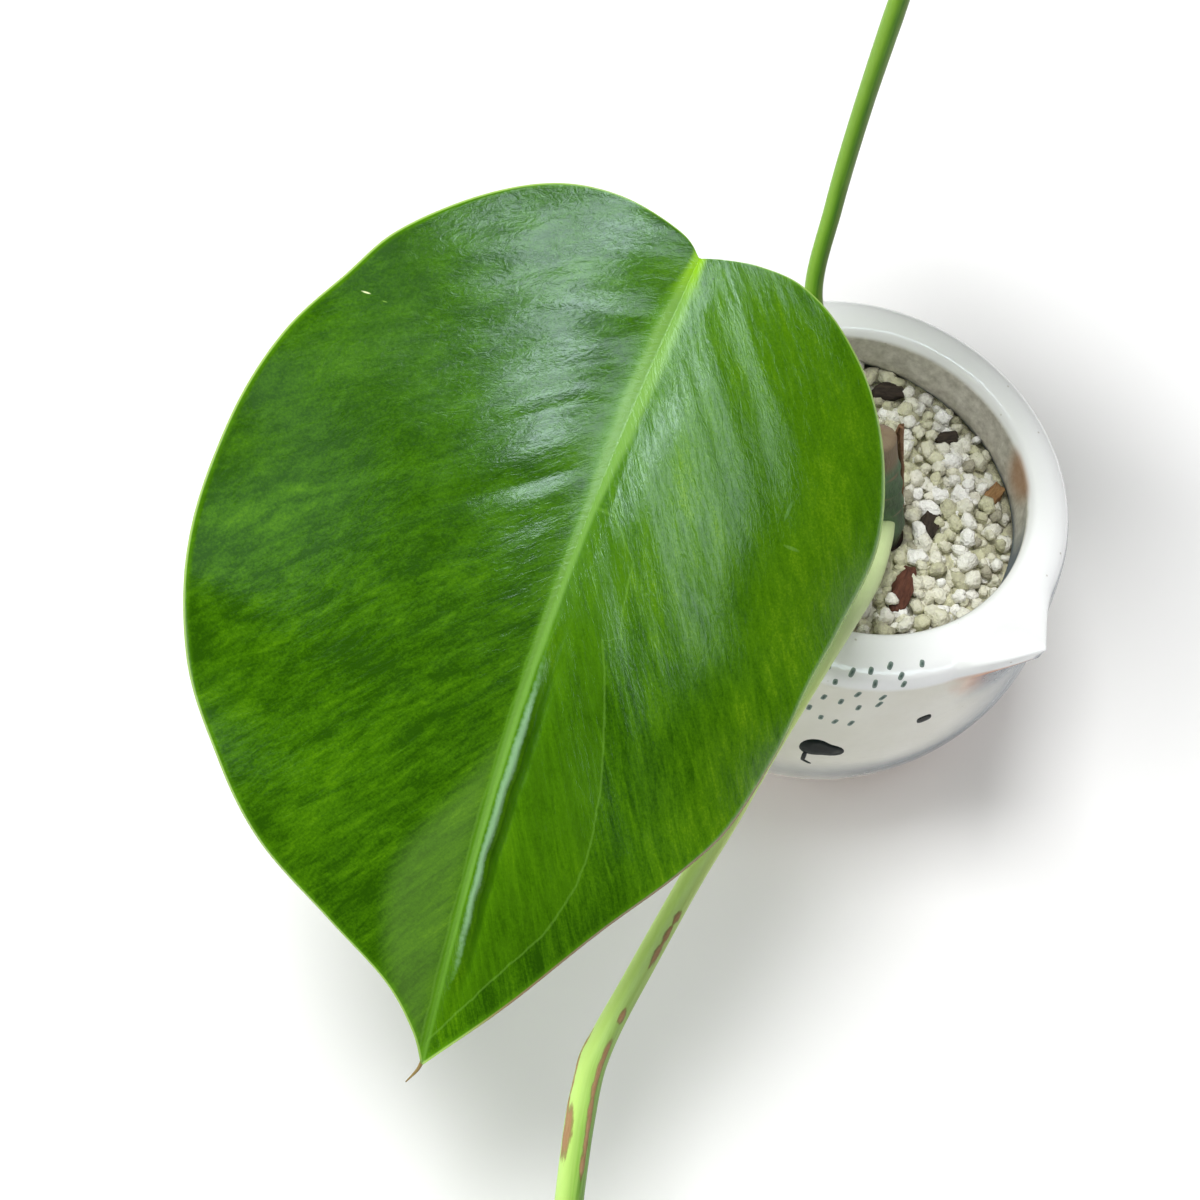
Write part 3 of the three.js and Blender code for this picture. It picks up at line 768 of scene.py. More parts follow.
@dataclass(frozen=True)
class GlazeFinish:
    """Cream glaze over pale clay: blushed inside the ears, greyed inside the mouth by painted shade and grime, bare
    at the foot, with painted light on the rim's top and a painted shade line at the grazing edge.
    """

    cream: str = "#ebe9e0"
    warm: str = "#e0ddd0"
    # painted light: the rim's top is painted whiter and cooler than the wall below it
    rim: str = "#f5f6f7"
    blush: str = "#cf8658"
    inner: str = "#dad6cd"
    grime_and_shade: str = "#a9a49a"
    clay: str = "#e2b5a2"
    stain: str = "#a8703c"
    # painted shade at the grazing edge of the wall
    grazing_edge_shade: str = "#4a5c70"
    speck: str = "#8d7a60"
    rosy: str = "#e8b49e"
    rosy_height: float = 20.0
    foot_height: float = 3.5

    def material(self, pot: "Pot", effects: SharedEffects) -> Material:
        """Builds the glaze.

        Args:
            pot: The pot it covers, whose sizes place the blush, the rim band, the inside of the mouth and the stain.
            effects: The shared node groups.

        Returns:
            The material.
        """
        bench = Surface("cream_glaze", IOR=1.5)
        place = bench.object_place()
        x, y, z = bench.parts(place)
        turned = bench.attribute("turned_height")
        shoulder, edge = pot.shoulder_height, pot.mouth_edge
        cloud = bench.group(effects.mottling, place=place, scale=0.05, contrast=1.4)

        angle = math.radians(pot.blush_from_face)
        beside = (abs(x) - pot.blush_radius * math.sin(angle)) * 0.8
        before = (y + pot.blush_radius * math.cos(angle)) * 0.8
        from_blush = bench.distance(bench.point(beside, before, turned - pot.blush_height))
        uneven = bench.noise(place, 0.22, 3.0) * 4.0 - 2.0
        blush = (from_blush + uneven).fade(3.0, 10.5) * turned.fade(shoulder - 0.2, shoulder + 0.7)

        # painted shade and grime: the inner wall below the mouth is painted grey
        slope = (z - (pot.height - 12)) * 0.45 + bench.distance(bench.point(x, y))
        within = slope.fade(pot.inner_reach - 0.6, pot.inner_reach) * z.rise(49.0, 51.0)
        inside = z.fade(edge - 1.0, edge + 0.6) * within
        grey = bench.ramp(bench.noise(place, 0.5, 5.0, 0.65), [(0.3, self.grime_and_shade), (0.7, self.inner)])
        stained = bench.distance(place, pot.stain_place).fade(3.0, 8.0, 0.7)

        wavy = bench.noise(place, 0.14, 2.0) * 3.0 + z
        bare = wavy.fade(self.foot_height, self.foot_height + 1.1)
        # painted shade: a blue-grey line where the upper wall turns away from the view
        facing = bench.wire("ShaderNodeLayerWeight", {0: 0.5}, "Facing")
        below_rim = z.rise(18.0, 34.0) * turned.fade(shoulder + 0.6, shoulder + 2.4)
        glaze = bench.layered(
            bench.ramp(cloud, [(0.2, self.warm), (0.8, self.cream)]),
            # painted light on the rim's top, which faces the light
            (turned.rise(shoulder - 0.6, shoulder + 0.6), self.rim),
            (blush, self.blush),
            (inside, grey),
            (stained * z.fade(edge - 0.2, edge + 1.2), self.stain),
            (wavy.fade(self.rosy_height, self.rosy_height + 3.5) * 0.38, self.rosy),
            (bare, self.clay),
            (bench.cells(place, 0.19).fade(0.02, 0.07, 0.45), self.speck),
            (facing.rise(0.62, 0.9, 0.0, 0.95) * below_rim, self.grazing_edge_shade),
        )
        dull = bench.math("MAXIMUM", bare, inside * 0.6)
        ripple = bench.noise(place, 0.35, 2.0)
        return bench.done(glaze, dull.rise(0.0, 1.0, 0.14, 0.8), bench.bump(ripple, 0.12))


@dataclass(frozen=True)
class PaintFinish:
    """Underglaze paint of the face: green-black, a little thinner at the stroke's edge."""

    dark: str
    thin: str

    def material(self, name: str) -> Material:
        """Builds the paint's material."""
        bench = Surface(name, IOR=1.25)
        wash = bench.noise(bench.object_place(), 1.3, 4.0, 0.6)
        share = wash * 0.5 + bench.attribute("stroke_edge") * 0.7
        paint = bench.ramp(share, [(0.35, self.dark), (0.95, self.thin)])
        return bench.done(paint, wash.rise(0.0, 1.0, 0.35, 0.5))


@dataclass(frozen=True)
class GrainFinish:
    """Porous expanded perlite, off-white, a few grains tinted by damp and algae, with painted shade in the pits."""

    whites: tuple[str, ...] = ("#a8a391", "#cfcdac", "#e2dfcc", "#eeece2", "#f8f7f3")
    pit: str = "#a09a86"

    def material(self, effects: SharedEffects) -> Material:
        """Builds the perlite's material.

        Args:
            effects: The shared node groups.

        Returns:
            The material.
        """
        bench = Surface("perlite_grain", IOR=1.4)
        place = bench.object_place()
        blotch = bench.noise(place, 0.6, 4.0, 0.6)
        share = bench.math("ADD", bench.attribute("tone"), blotch * 0.5 - 0.25, clamp=True)
        white = bench.ramp(share, [(i / (len(self.whites) - 1), code) for i, code in enumerate(self.whites)])
        pits = bench.group(effects.pitting, place=place, scale=0.9, depth=1.0)
        # painted shade: the pits are darkened where the grain's surface sinks in
        white = bench.mix(pits.fade(0.1, 0.45, 0.45), white, self.pit)
        return bench.done(white, blotch.rise(0.0, 1.0, 0.8, 0.95), bench.bump(pits, 0.35))


@dataclass(frozen=True)
class MixFinish:
    """Dark moist potting mix of bark fines and peat."""

    dark: str = "#1c140d"
    light: str = "#4a3423"

    def material(self, effects: SharedEffects) -> Material:
        """Builds the potting mix's material.

        Args:
            effects: The shared node groups.

        Returns:
            The material.
        """
        bench = Surface("moist_mix", IOR=1.4)
        place = bench.object_place()
        crumbs = bench.cells(place, 0.7)
        cloud = bench.group(effects.mottling, place=place, scale=0.3, contrast=2.0)
        soil = bench.ramp(crumbs * 0.5 + cloud * 0.5, [(0.25, self.dark), (0.85, self.light)])
        return bench.done(soil, cloud.rise(0.0, 1.0, 0.75, 0.95), bench.bump(cloud - crumbs, 0.6))


@dataclass(frozen=True)
class BarkFinish:
    """Fibrous bark or dry leaf tissue of one colour."""

    dark: str
    light: str

    def material(self, name: str, effects: SharedEffects) -> Material:
        """Builds the bark's material.

        Args:
            name: Name of the material.
            effects: The shared node groups.

        Returns:
            The material.
        """
        bench = Surface(name, IOR=1.4)
        along, across, up = bench.parts(bench.attribute("chip_place", "Vector"))
        fibre_place = bench.point(along * 0.18, across, up)
        fibres = bench.noise(fibre_place, 1.6, 6.0, 0.7)
        cloud = bench.group(effects.mottling, place=fibre_place, scale=0.5, contrast=1.6)
        bark = bench.ramp(fibres, [(0.3, self.dark), (0.72, self.light)])
        bark = bench.mix(cloud * 0.4, bark, self.dark)
        return bench.done(bark, cloud.rise(0.0, 1.0, 0.7, 0.9), bench.bump(fibres, 0.4))


@dataclass(frozen=True)
class BladeForm:
    """Sizes of one blade, whose outline's points are (across the midrib, along from the sinus)."""

    name: str
    sinus: Triple
    tip: Triple
    faces: Triple
    left: tuple[Pair, ...]
    right: tuple[Pair, ...]
    arch: float
    fall_left: float
    fall_right: float
    sway: float
    ripple: float
    ripple_phase: float
    columns: int = 150
    rows: int = 190
    creased: bool = False
    seed: int = 1


@dataclass
class Blade:
    """One leaf blade: a thin curved sheet with a sunk midrib, lateral veins and a waved margin."""

    form: BladeForm
    thickness: float = 1.0
    margin_thickness: float = 0.55
    rib_width: float = 2.4
    rib_depth: float = 1.9
    rib_taper: float = 0.75
    groove_width: float = 6.0
    groove_depth: float = 2.0
    ripple_length: float = 34.0
    right_ripple_shift: float = 2.0
    row_crowding: float = 1.45
    first_row: float = 0.004
    last_row: float = 0.998
    vein_pitch: float = 8.8
    sinus_ease: float = 0.045
    vein_lean: float = 0.42
    vein_lean_right: float = 1.15
    vein_lean_gain: float = 1.15
    vein_swell: float = 0.24
    vein_groove: float = 0.1
    under_vein: float = 0.18
    fibre_height: float = 0.05
    wave_height: float = 0.34
    buckle_height: float = 0.15
    small_height: float = 0.045
    rib_swell: float = 0.1
    outside: float = -9.0
    crease: tuple[Pair, ...] = ((58, 0), (70, 0.45), (84, 1.0), (104, 0.95), (118, 0.6), (131, 0))
    sector_line: tuple[Pair, ...] = (
        (40, 3), (56.2, 6.5), (75.6, 13.7), (94.9, 17.4), (109.3, 14.7), (122, 7), (134, 0),
    )
    sector_patch: tuple[Pair, ...] = ((44, 0), (50, 4.4), (62.4, 3.2), (63.2, 0))
    sector_start: float = 44.0
    sheen_sector_line: tuple[Pair, ...] = ((80, 0), (92, 5.5), (108, 12.5), (124, 10), (134, 3))
    sheen_sector_start: float = 80.0

    def __post_init__(self) -> None:
        """Works out the blade's own directions and its margins."""
        form = self.form
        self.origin = Vector(form.sinus)
        self.along = Vector(form.tip) - self.origin
        self.length = self.along.length
        self.along.normalize()
        faces = Vector(form.faces)
        self.out = (faces - self.along * faces.dot(self.along)).normalized()
        self.across = self.out.cross(self.along)
        self.margins = {-1: EvenCurve(form.left), 1: EvenCurve(form.right)}

    def rib_at(self, v: float) -> float:
        """How far the midrib sways from the straight line at a place along it."""
        return self.form.sway * math.sin(math.pi * clamp01(v / self.length))

    def vein_line(self, u: float, v: float) -> float:
        """The place on the midrib that the vein through a point leaves from."""
        away = abs(u)
        lean = self.vein_lean if u < 0 else self.vein_lean_right
        return (v - lean * away) / (1 + self.vein_lean_gain * away / self.length)

    def main_height(self, u: float, v: float, edge: float) -> float:
        """Height over the plane through the sinus and the tip, as the frame's blade has it.

        Args:
            u: Millimetres across from the straight line, positive to the right.
            v: Millimetres along from the sinus.
            edge: 0 on the midrib and 1 on the margin.

        Returns:
            The height in millimetres.
        """
        form = self.form
        t = min(v / self.length, 1.0)
        if t < self.sinus_ease:
            t = max(t + self.sinus_ease, 0.0) ** 2 / (4 * self.sinus_ease)
        away = abs(u - self.rib_at(v))
        fall = form.fall_left if u < 0 else form.fall_right
        shift = 0 if u < 0 else self.right_ripple_shift
        wave = math.sin(v / self.ripple_length * math.tau + form.ripple_phase + shift)
        groove = self.groove_depth * (1 - math.exp(-away / self.groove_width))
        ripple = form.ripple * edge**3 * wave * math.sin(math.pi * t)
        return 4 * form.arch * t * (1 - t) + groove - fall * away * away + ripple

    def relief(self, u: float, v: float, edge: float) -> float:
        """Fine relief that the upper face has over its main height.

        Args:
            u: Millimetres across from the straight line.
            v: Millimetres along from the sinus.
            edge: 0 on the midrib and 1 on the margin.

        Returns:
            The height in millimetres.
        """
        seed = self.form.seed * 31.0
        beside = u - self.rib_at(v)
        away = abs(beside)
        q = self.vein_line(beside, v)
        side = 1.0 if beside > 0 else -1.0
        phase = q / self.vein_pitch + 0.6 * ruffle(away * 0.05, q * 0.08, side * 3 + seed)
        groove = hump(phase, round(phase), 0.085)
        swell = 0.5 + 0.5 * math.cos(math.tau * (phase - 0.5))
        reach = smooth(1.5, 6.0, away) * (1 - 0.8 * smooth(14.0, 42.0, away))
        uneven = 0.65 + 0.9 * ruffle(away * 0.04, v * 0.05, side * 7 + seed)
        strength = (1 - 0.75 * smooth(34.0, 62.0, v)) if beside < 0 else 0.22
        height = reach * strength * uneven * (self.vein_swell * swell - self.vein_groove * groove)
        if beside > 0:
            height += self.fibre_height * smooth(1.5, 5, away) * ruffle(away * 0.1, q * 0.9, seed)
            wave = smooth(2, 9, away) * (1 - edge**3) * ruffle(away * 0.015, q * 0.11, seed)
            height += self.wave_height * wave
        buckle = smooth(3.0, 14.0, away) * (1 - edge**2) * (1 - hump(away, 0, 4))
        height += self.buckle_height * buckle * ruffle(u * 0.06, v * 0.075, seed)
        small = smooth(1.0, 4.0, away) * ruffle(away * 0.16, q * 0.34, side * 5 + seed)
        height += self.small_height * small
        height += self.rib_swell * (1 - smooth(20.0, 66.0, v)) * hump(away, 0.0, 1.9)
        return height + (self.fold(beside, v, 1.0) if self.form.creased else 0.0)

    def depth(self, u: float, v: float, edge: float) -> float:
        """How far the underside lies below the main height, with its rib and its veins.

        Args:
            u: Millimetres across from the straight line.
            v: Millimetres along from the sinus.
            edge: 0 on the midrib and 1 on the margin.

        Returns:
            The depth in millimetres.
        """
        beside = u - self.rib_at(v)
        slimmer = 1 - self.rib_taper * clamp01(v / self.length)
        rib = self.rib_depth * slimmer * hump(beside, 0.0, self.rib_width)
        sheet = lerp(self.thickness, self.margin_thickness, smooth(0.8, 1.0, edge))
        phase = self.vein_line(beside, v) / self.vein_pitch
        veins = hump(phase, round(phase), 0.09) * smooth(2, 6, abs(beside)) * (1 - edge)
        return sheet + rib + self.under_vein * veins

    def fold(self, beside: float, v: float, rough: float) -> float:
        """The wrinkled fold that stands beside the lower midrib.

        Args:
            beside: Millimetres to the right of the midrib.
            v: Millimetres along from the sinus.
            rough: How much small wrinkling it has, 0 to 1.

        Returns:
            Its height in millimetres.
        """
        tall = eased(self.crease, v)
        if tall <= 0 or beside < -2 or beside > 9:
            return 0.0
        wrinkle = ruffle(v * 0.2, 1.7)
        fine = ruffle(v * 0.6, 8.1, beside * 0.4)
        middle = 1.6 + 0.4 * wrinkle
        climb = hump(beside, middle, 0.85 + 0.2 * wrinkle)
        dip = 0.5 * hump(beside, middle + 1.7, 0.85)
        return tall * ((1.0 + 0.3 * rough * fine) * climb - dip)

    def right_sector(self, beside: float, v: float) -> float:
        """Signed distance inside the pale sector right of the midrib."""
        line = eased(self.sector_line, v) + in_steps(self.sector_patch, v)
        return min(line - beside, beside + 1.0, (v - self.sector_start) * 0.7)

    def left_sector(self, beside: float, v: float) -> float:
        """Signed distance inside the paler sector left of the midrib, near the tip, which has a painted sheen."""
        return min(eased(self.sheen_sector_line, v) + beside, 0.5 - beside, v - self.sheen_sector_start)

    def _sheet(self) -> tuple[BMesh, dict[int, tuple[float, float, float, float]]]:
        """Lays a flat grid out over the blade's outline.

        Returns:
            The mesh, and for each of its vertices (across, along, edge, gap to the margin).
        """
        bm = bmesh.new()
        form = self.form
        bmesh.ops.create_grid(bm, x_segments=form.columns, y_segments=form.rows, size=1.0)
        bm.verts.ensure_lookup_table()
        places: dict[int, tuple[float, float, float, float]] = {}
        for vert in bm.verts:
            side = 1 if vert.co.x >= 0 else -1
            column = abs(vert.co.x)
            edge = column * (0.36 + 0.64 * column) if column < 1 else 1.0
            s = lerp(self.first_row, self.last_row, (vert.co.y + 1) / 2)
            rib_v = self.length * s**self.row_crowding
            margin = self.margins[side].at(s)
            u = lerp(self.rib_at(rib_v), margin.x, edge)
            v = lerp(rib_v, margin.y, edge)
            gap = (1 - edge) * math.hypot(margin.x - self.rib_at(rib_v), margin.y - rib_v)
            places[vert.index] = (u, v, edge, gap)
        return bm, places

    def _mark(self, bm: BMesh, places: dict[int, tuple[float, float, float, float]]) -> None:
        """Stores what the finish reads at each place of the sheet.

        Args:
            bm: The sheet.
            places: For each of its vertices (across, along, edge, gap to the margin).
        """
        place_layer = bm.verts.layers.float_vector.new("blade_place")
        names = ("vein_line", "right_sector", "left_sector", "fold")
        layers = [bm.verts.layers.float.new(name) for name in names]
        for vert in bm.verts:
            u, v, _edge, gap = places[vert.index]
            beside = u - self.rib_at(v)
            vert[place_layer] = Vector((beside, v, gap))
            own = (self.outside, self.outside, 0.0)
            if self.form.creased:
                own = (self.right_sector(beside, v), self.left_sector(beside, v), self.fold(beside, v, 0.0))
            for layer, value in zip(layers, (self.vein_line(beside, v), *own)):
                vert[layer] = value

    def build(self, upper: Material, lower: Material) -> None:
        """Builds the blade as one closed solid.

        Args:
            upper: Material of the upper face and the edge.
            lower: Material of the underside.
        """
        bm, places = self._sheet()
        index = bm.verts.layers.int.new("sheet_index")
        for vert in bm.verts:
            vert[index] = vert.index
        self._mark(bm, places)
        grown = bmesh.ops.extrude_face_region(bm, geom=list(bm.faces), use_keep_orig=True)
        top = {g for g in grown["geom"] if isinstance(g, Vert)}
        for vert in bm.verts:
            u, v, edge, _gap = places[vert[index]]
            height = self.main_height(u, v, edge)
            if vert in top:
                height += self.relief(u, v, edge) * (1 - edge**6)
            else:
                height -= self.depth(u, v, edge)
            vert.co = self.origin + self.across * u + self.along * v + self.out * height
        for face in bm.faces:
            if not any(vert in top for vert in face.verts):
                face.material_index = 1
        bmesh.ops.remove_doubles(bm, verts=bm.verts, dist=0.001)
        bmesh.ops.recalc_face_normals(bm, faces=bm.faces)
        bm.verts.layers.int.remove(index)
        name = self.form.name
        finish_piece(bm, f"blade_{name}", (upper, lower), Slot.BLADE, (f"leaf_{name}",))


@dataclass(frozen=True)
class Scar:
    """A corky scar on a stalk, by its middle, half length and half width."""

    along: float
    turn: float
    half_length: float
    half_width: float


@dataclass
class Rod:
    """A round stalk or stem swept along a smooth path."""

    path: Sequence[Triple]
    radii: Sequence[float]
    lead: Vector
    ring_gap: float = 0.5
    sides: int = 36
    scars: Sequence[Scar] = ()
    shape: Callable[[float, float], float] | None = None
    ripe: Pair | None = None
    cap_sizes: Pair = (0.35, 0.75)

    def radius_at(self, share: float) -> float:
        """Radius at a share of the length, from the list spread evenly along it."""
        place = clamp01(share) * (len(self.radii) - 1)
        i = min(int(place), len(self.radii) - 2)
        return lerp(self.radii[i], self.radii[i + 1], place - i)

    def scar_depth(self, along: float, turn: float, radius: float) -> float:
        """How deep inside the nearest scar a place is, 0.6 in its middle and below 0 outside."""
        best = -1.0
        for scar in self.scars:
            away = math.atan2(math.sin(turn - scar.turn), math.cos(turn - scar.turn)) * radius
            x = (along - scar.along) / scar.half_length
            y = away / scar.half_width
            best = max(best, 0.6 * (1 - math.sqrt(x * x + y * y)))
        return best

    @staticmethod
    def _followers(ring: list[Vert], grown: set[Vert]) -> list[Vert]:
        """The vertices that grew from a ring, in the ring's own order."""
        return [next(v for e in vert.link_edges for v in e.verts if v in grown) for vert in ring]

    def build(self, name: str, material: Material, slot: Slot, nodes: Sequence[str] = ()) -> None:
        """Builds the rod with rounded ends.

        Args:
            name: Name of the piece.
            material: Its material.
            slot: The record's slot of its finish.
            nodes: The frame's nodes that it stands for.
        """
        curve = EvenCurve(self.path)
        count = max(8, round(curve.length / self.ring_gap))
        bm = bmesh.new()
        grown = bm.verts.layers.float_vector.new("grown_place")
        lit, scar, ripe = [bm.verts.layers.float.new(key) for key in ("turned_to_light", "scar", "ripe")]
        ring = bmesh.ops.create_circle(bm, cap_ends=False, radius=1.0, segments=self.sides)["verts"]
        edges = list(dict.fromkeys(edge for vert in ring for edge in vert.link_edges))
        stations = [(0.0, size) for size in self.cap_sizes] + [(i / count, 1.0) for i in range(count + 1)]
        stations += [(1.0, size) for size in reversed(self.cap_sizes)]
        for number, (share, size) in enumerate(stations):
            if number:
                made = bmesh.ops.extrude_edge_only(bm, edges=edges)["geom"]
                edges = [g for g in made if isinstance(g, bmesh.types.BMEdge) and g.is_boundary]
                ring = self._followers(ring, {v for e in edges for v in e.verts})
            ahead = curve.direction(share)
            side = (self.lead - ahead * self.lead.dot(ahead)).normalized()
            bend = ahead.cross(side)
            radius = self.radius_at(share)
            along = share * curve.length
            pull = (1 - size) * radius * 0.6 * (-1 if share == 0 else 1)
            middle = curve.at(share) + ahead * pull
            for k, vert in enumerate(ring):
                turn = math.tau * k / self.sides
                wide = size * (radius + (self.shape(along, turn) if self.shape else 0.0))
                vert.co = middle + (side * math.cos(turn) + bend * math.sin(turn)) * wide
                vert[grown] = Vector((radius * math.cos(turn), radius * math.sin(turn), along))
                vert[lit] = math.cos(turn)
                vert[scar] = self.scar_depth(along, turn, radius)
                vert[ripe] = smooth(*self.ripe, along) if self.ripe else 0.0
        bmesh.ops.holes_fill(bm, edges=[e for e in bm.edges if e.is_boundary], sides=self.sides)
        bmesh.ops.recalc_face_normals(bm, faces=bm.faces)
        finish_piece(bm, name, (material,), slot, nodes)


@dataclass
class Pot:
    """Glazed pot: a round turned body whose shoulder is pinched out into two ears."""

    height: float = 70.0
    foot: float = 36.5
    foot_rounding: float = 1.3
    belly: float = 51.0
    belly_height: float = 38.0
    shoulder: float = 45.6
    shoulder_height: float = 66.4
    crest: float = 40.5
    mouth: float = 35.0
    mouth_drop: float = 2.2
    wall: float = 5.2
    foot_recess: float = 0.8
    ear_angle: float = 45.0
    ear_reach: float = 6.6
    ear_rise: float = 8.6
    ear_edge: float = 44.3
    ear_lip: float = 0.8
    mouth_shift: Pair = (1.3, 1.1)
    mouth_depth: float = 11.0
    ear_front_span: float = 17.0
    ear_back_span: float = 24.0
    ear_root: float = 47.0
    ear_front_sharpness: float = 1.2
    ear_back_sharpness: float = 1.8
    ear_undercut: float = 5.0
    blush_from_face: float = 41.0
    blush_radius: float = 47.5
    blush_height: float = 66.6
    stain_from_face: float = 104.0
    sides: int = 256

    def __post_init__(self) -> None:
        """Works out the outer curve and the places that the finish needs."""
        self.mouth_edge = self.height - self.mouth_drop
        shoulder = (self.shoulder, self.shoulder_height)
        belly = ((self.belly - 3.6, 17.5), (self.belly, self.belly_height), (self.belly - 3.2, 57.0))
        self.outside = EvenCurve([(self.foot, self.foot_rounding), *belly, shoulder])
        crest = ((self.shoulder - 1.6, self.height - 1), (self.crest, self.height))
        mouth = ((self.mouth + 1.4, self.height - 0.6), (self.mouth, self.mouth_edge))
        self.rim = EvenCurve([shoulder, *crest, *mouth])
        self.inner_reach = self.mouth + self.wall + 3.0
        turn = math.radians(self.stain_from_face)
        self.stain_place = (self.mouth * math.sin(turn), -self.mouth * math.cos(turn), self.mouth_edge - 0.5)

    def _profile(self) -> list[Pair]:
        """The wall's outline from the axis under the foot, over the rim and down to the axis inside.

        Returns:
            Points as (radius, height).
        """
        hollow = self.belly - self.wall
        upper = [(self.mouth, self.mouth_edge - 1), (self.mouth + 1.6, self.height - 12)]
        middle = [(hollow - 3.6, self.height - 22), (hollow, self.belly_height)]
        lower = [(hollow - 3, self.belly_height - 18), (self.foot - 3, self.wall + 2.5)]
        inner = EvenCurve(upper + middle + lower)
        points = [(0.0, self.foot_recess), (self.foot - 7, self.foot_recess), (self.foot - 6, 0.0)]
        points.append((self.foot - self.foot_rounding, 0.0))
        for curve, count in ((self.outside, 64), (self.rim, 34), (inner, 26)):
            points += [tuple(curve.at(i / count).xy) for i in range(count + 1)]
        return points + [(self.foot - 8, self.wall), (0.0, self.wall)]

    def ear_pull(self, from_face: float, radius: float, height: float) -> float:
        """How strongly an ear pulls at a point of the outer wall, 0 to 1.

        Args:
            from_face: Degrees round the pot from the middle of the face.
            radius: Distance from the axis.
            height: Height over the base.

        Returns:
            The pull.
        """
        past = abs(from_face) - self.ear_angle
        if past < 0:
            round_pot = clamp01(1 + past / self.ear_front_span) ** self.ear_front_sharpness
        else:
            round_pot = clamp01(1 - past / self.ear_back_span) ** self.ear_back_sharpness
        if radius < self.crest - 1 or height < self.ear_root:
            return 0.0
        if height <= self.shoulder_height:
            climb = (height - self.ear_root) / (self.shoulder_height - self.ear_root)
            return round_pot * self.ear_lip * climb**self.ear_undercut
        if radius > self.ear_edge:
            outward = (radius - self.ear_edge) / (self.shoulder - self.ear_edge)
            return round_pot * lerp(1.0, self.ear_lip, outward)
        return round_pot * clamp01((radius - self.crest) / (self.ear_edge - self.crest))

    def on_mouth(self, radius: float, height: float) -> bool:
        """Whether a point of the turned body lies on the rim or on the inner wall below it."""
        within = height > self.height - self.mouth_depth and radius < self.crest + 1
        return within or height > self.shoulder_height + 0.1

    def mouth_shift_at(self, radius: float, height: float) -> Vector:
        """How far the hand-made mouth lies off the axis at a point of the rim or the inner wall.

        Args:
            radius: Distance from the axis on the turned body.
            height: Height over the base.

        Returns:
            The shift in millimetres.
        """
        share = smooth(self.height - self.mouth_depth, self.height - 3, height)
        if height > self.mouth_edge or radius > self.crest:
            share *= 1 - smooth(self.mouth, self.shoulder - 0.8, radius)
        return Vector((*self.mouth_shift, 0.0)) * share

    def pinched(self, radius: float, height: float, turn: float) -> Vector:
        """A point of the outer wall after the ears are pinched out.

        Args:
            radius: Distance from the axis on the turned body.
            height: Height on the turned body.
            turn: Angle round the pot from the face, in radians, towards +X.

        Returns:
            The point.
        """
        pull = self.ear_pull(math.degrees(turn), radius, height)
        reach = radius + self.ear_reach * pull
        return Vector((reach * math.sin(turn), -reach * math.cos(turn), height + self.ear_rise * pull))

    def build(self, material: Material) -> None:
        """Turns the body, pinches the ears and finishes the pot.

        Args:
            material: The glaze.
        """
        bm = bmesh.new()
        spin_outline(bm, self._profile(), self.sides)
        bmesh.ops.remove_doubles(bm, verts=bm.verts, dist=0.01)
        turned = bm.verts.layers.float.new("turned_height")
        for vert in bm.verts:
            height, radius = vert.co.z, vert.co.xy.length
            vert[turned] = height
            moved = self.mouth_shift_at(radius, height) if self.on_mouth(radius, height) else Vector()
            if radius > self.crest - 1 and height > self.ear_root:
                vert.co = self.pinched(radius, height, math.atan2(vert.co.x, -vert.co.y))
            vert.co += moved
        bmesh.ops.recalc_face_normals(bm, faces=bm.faces)
        finish_piece(bm, "glazed_pot", (material,), Slot.GLAZE, ("pot",))


Outline = Callable[[float], float]


@dataclass(frozen=True)
class Stroke:
    """One painted stroke: a flat oval on the pot's wall, placed by its angle, height and radius."""

    from_face: float
    height: float
    radius: float
    half_length: float
    half_width: float
    slant: float


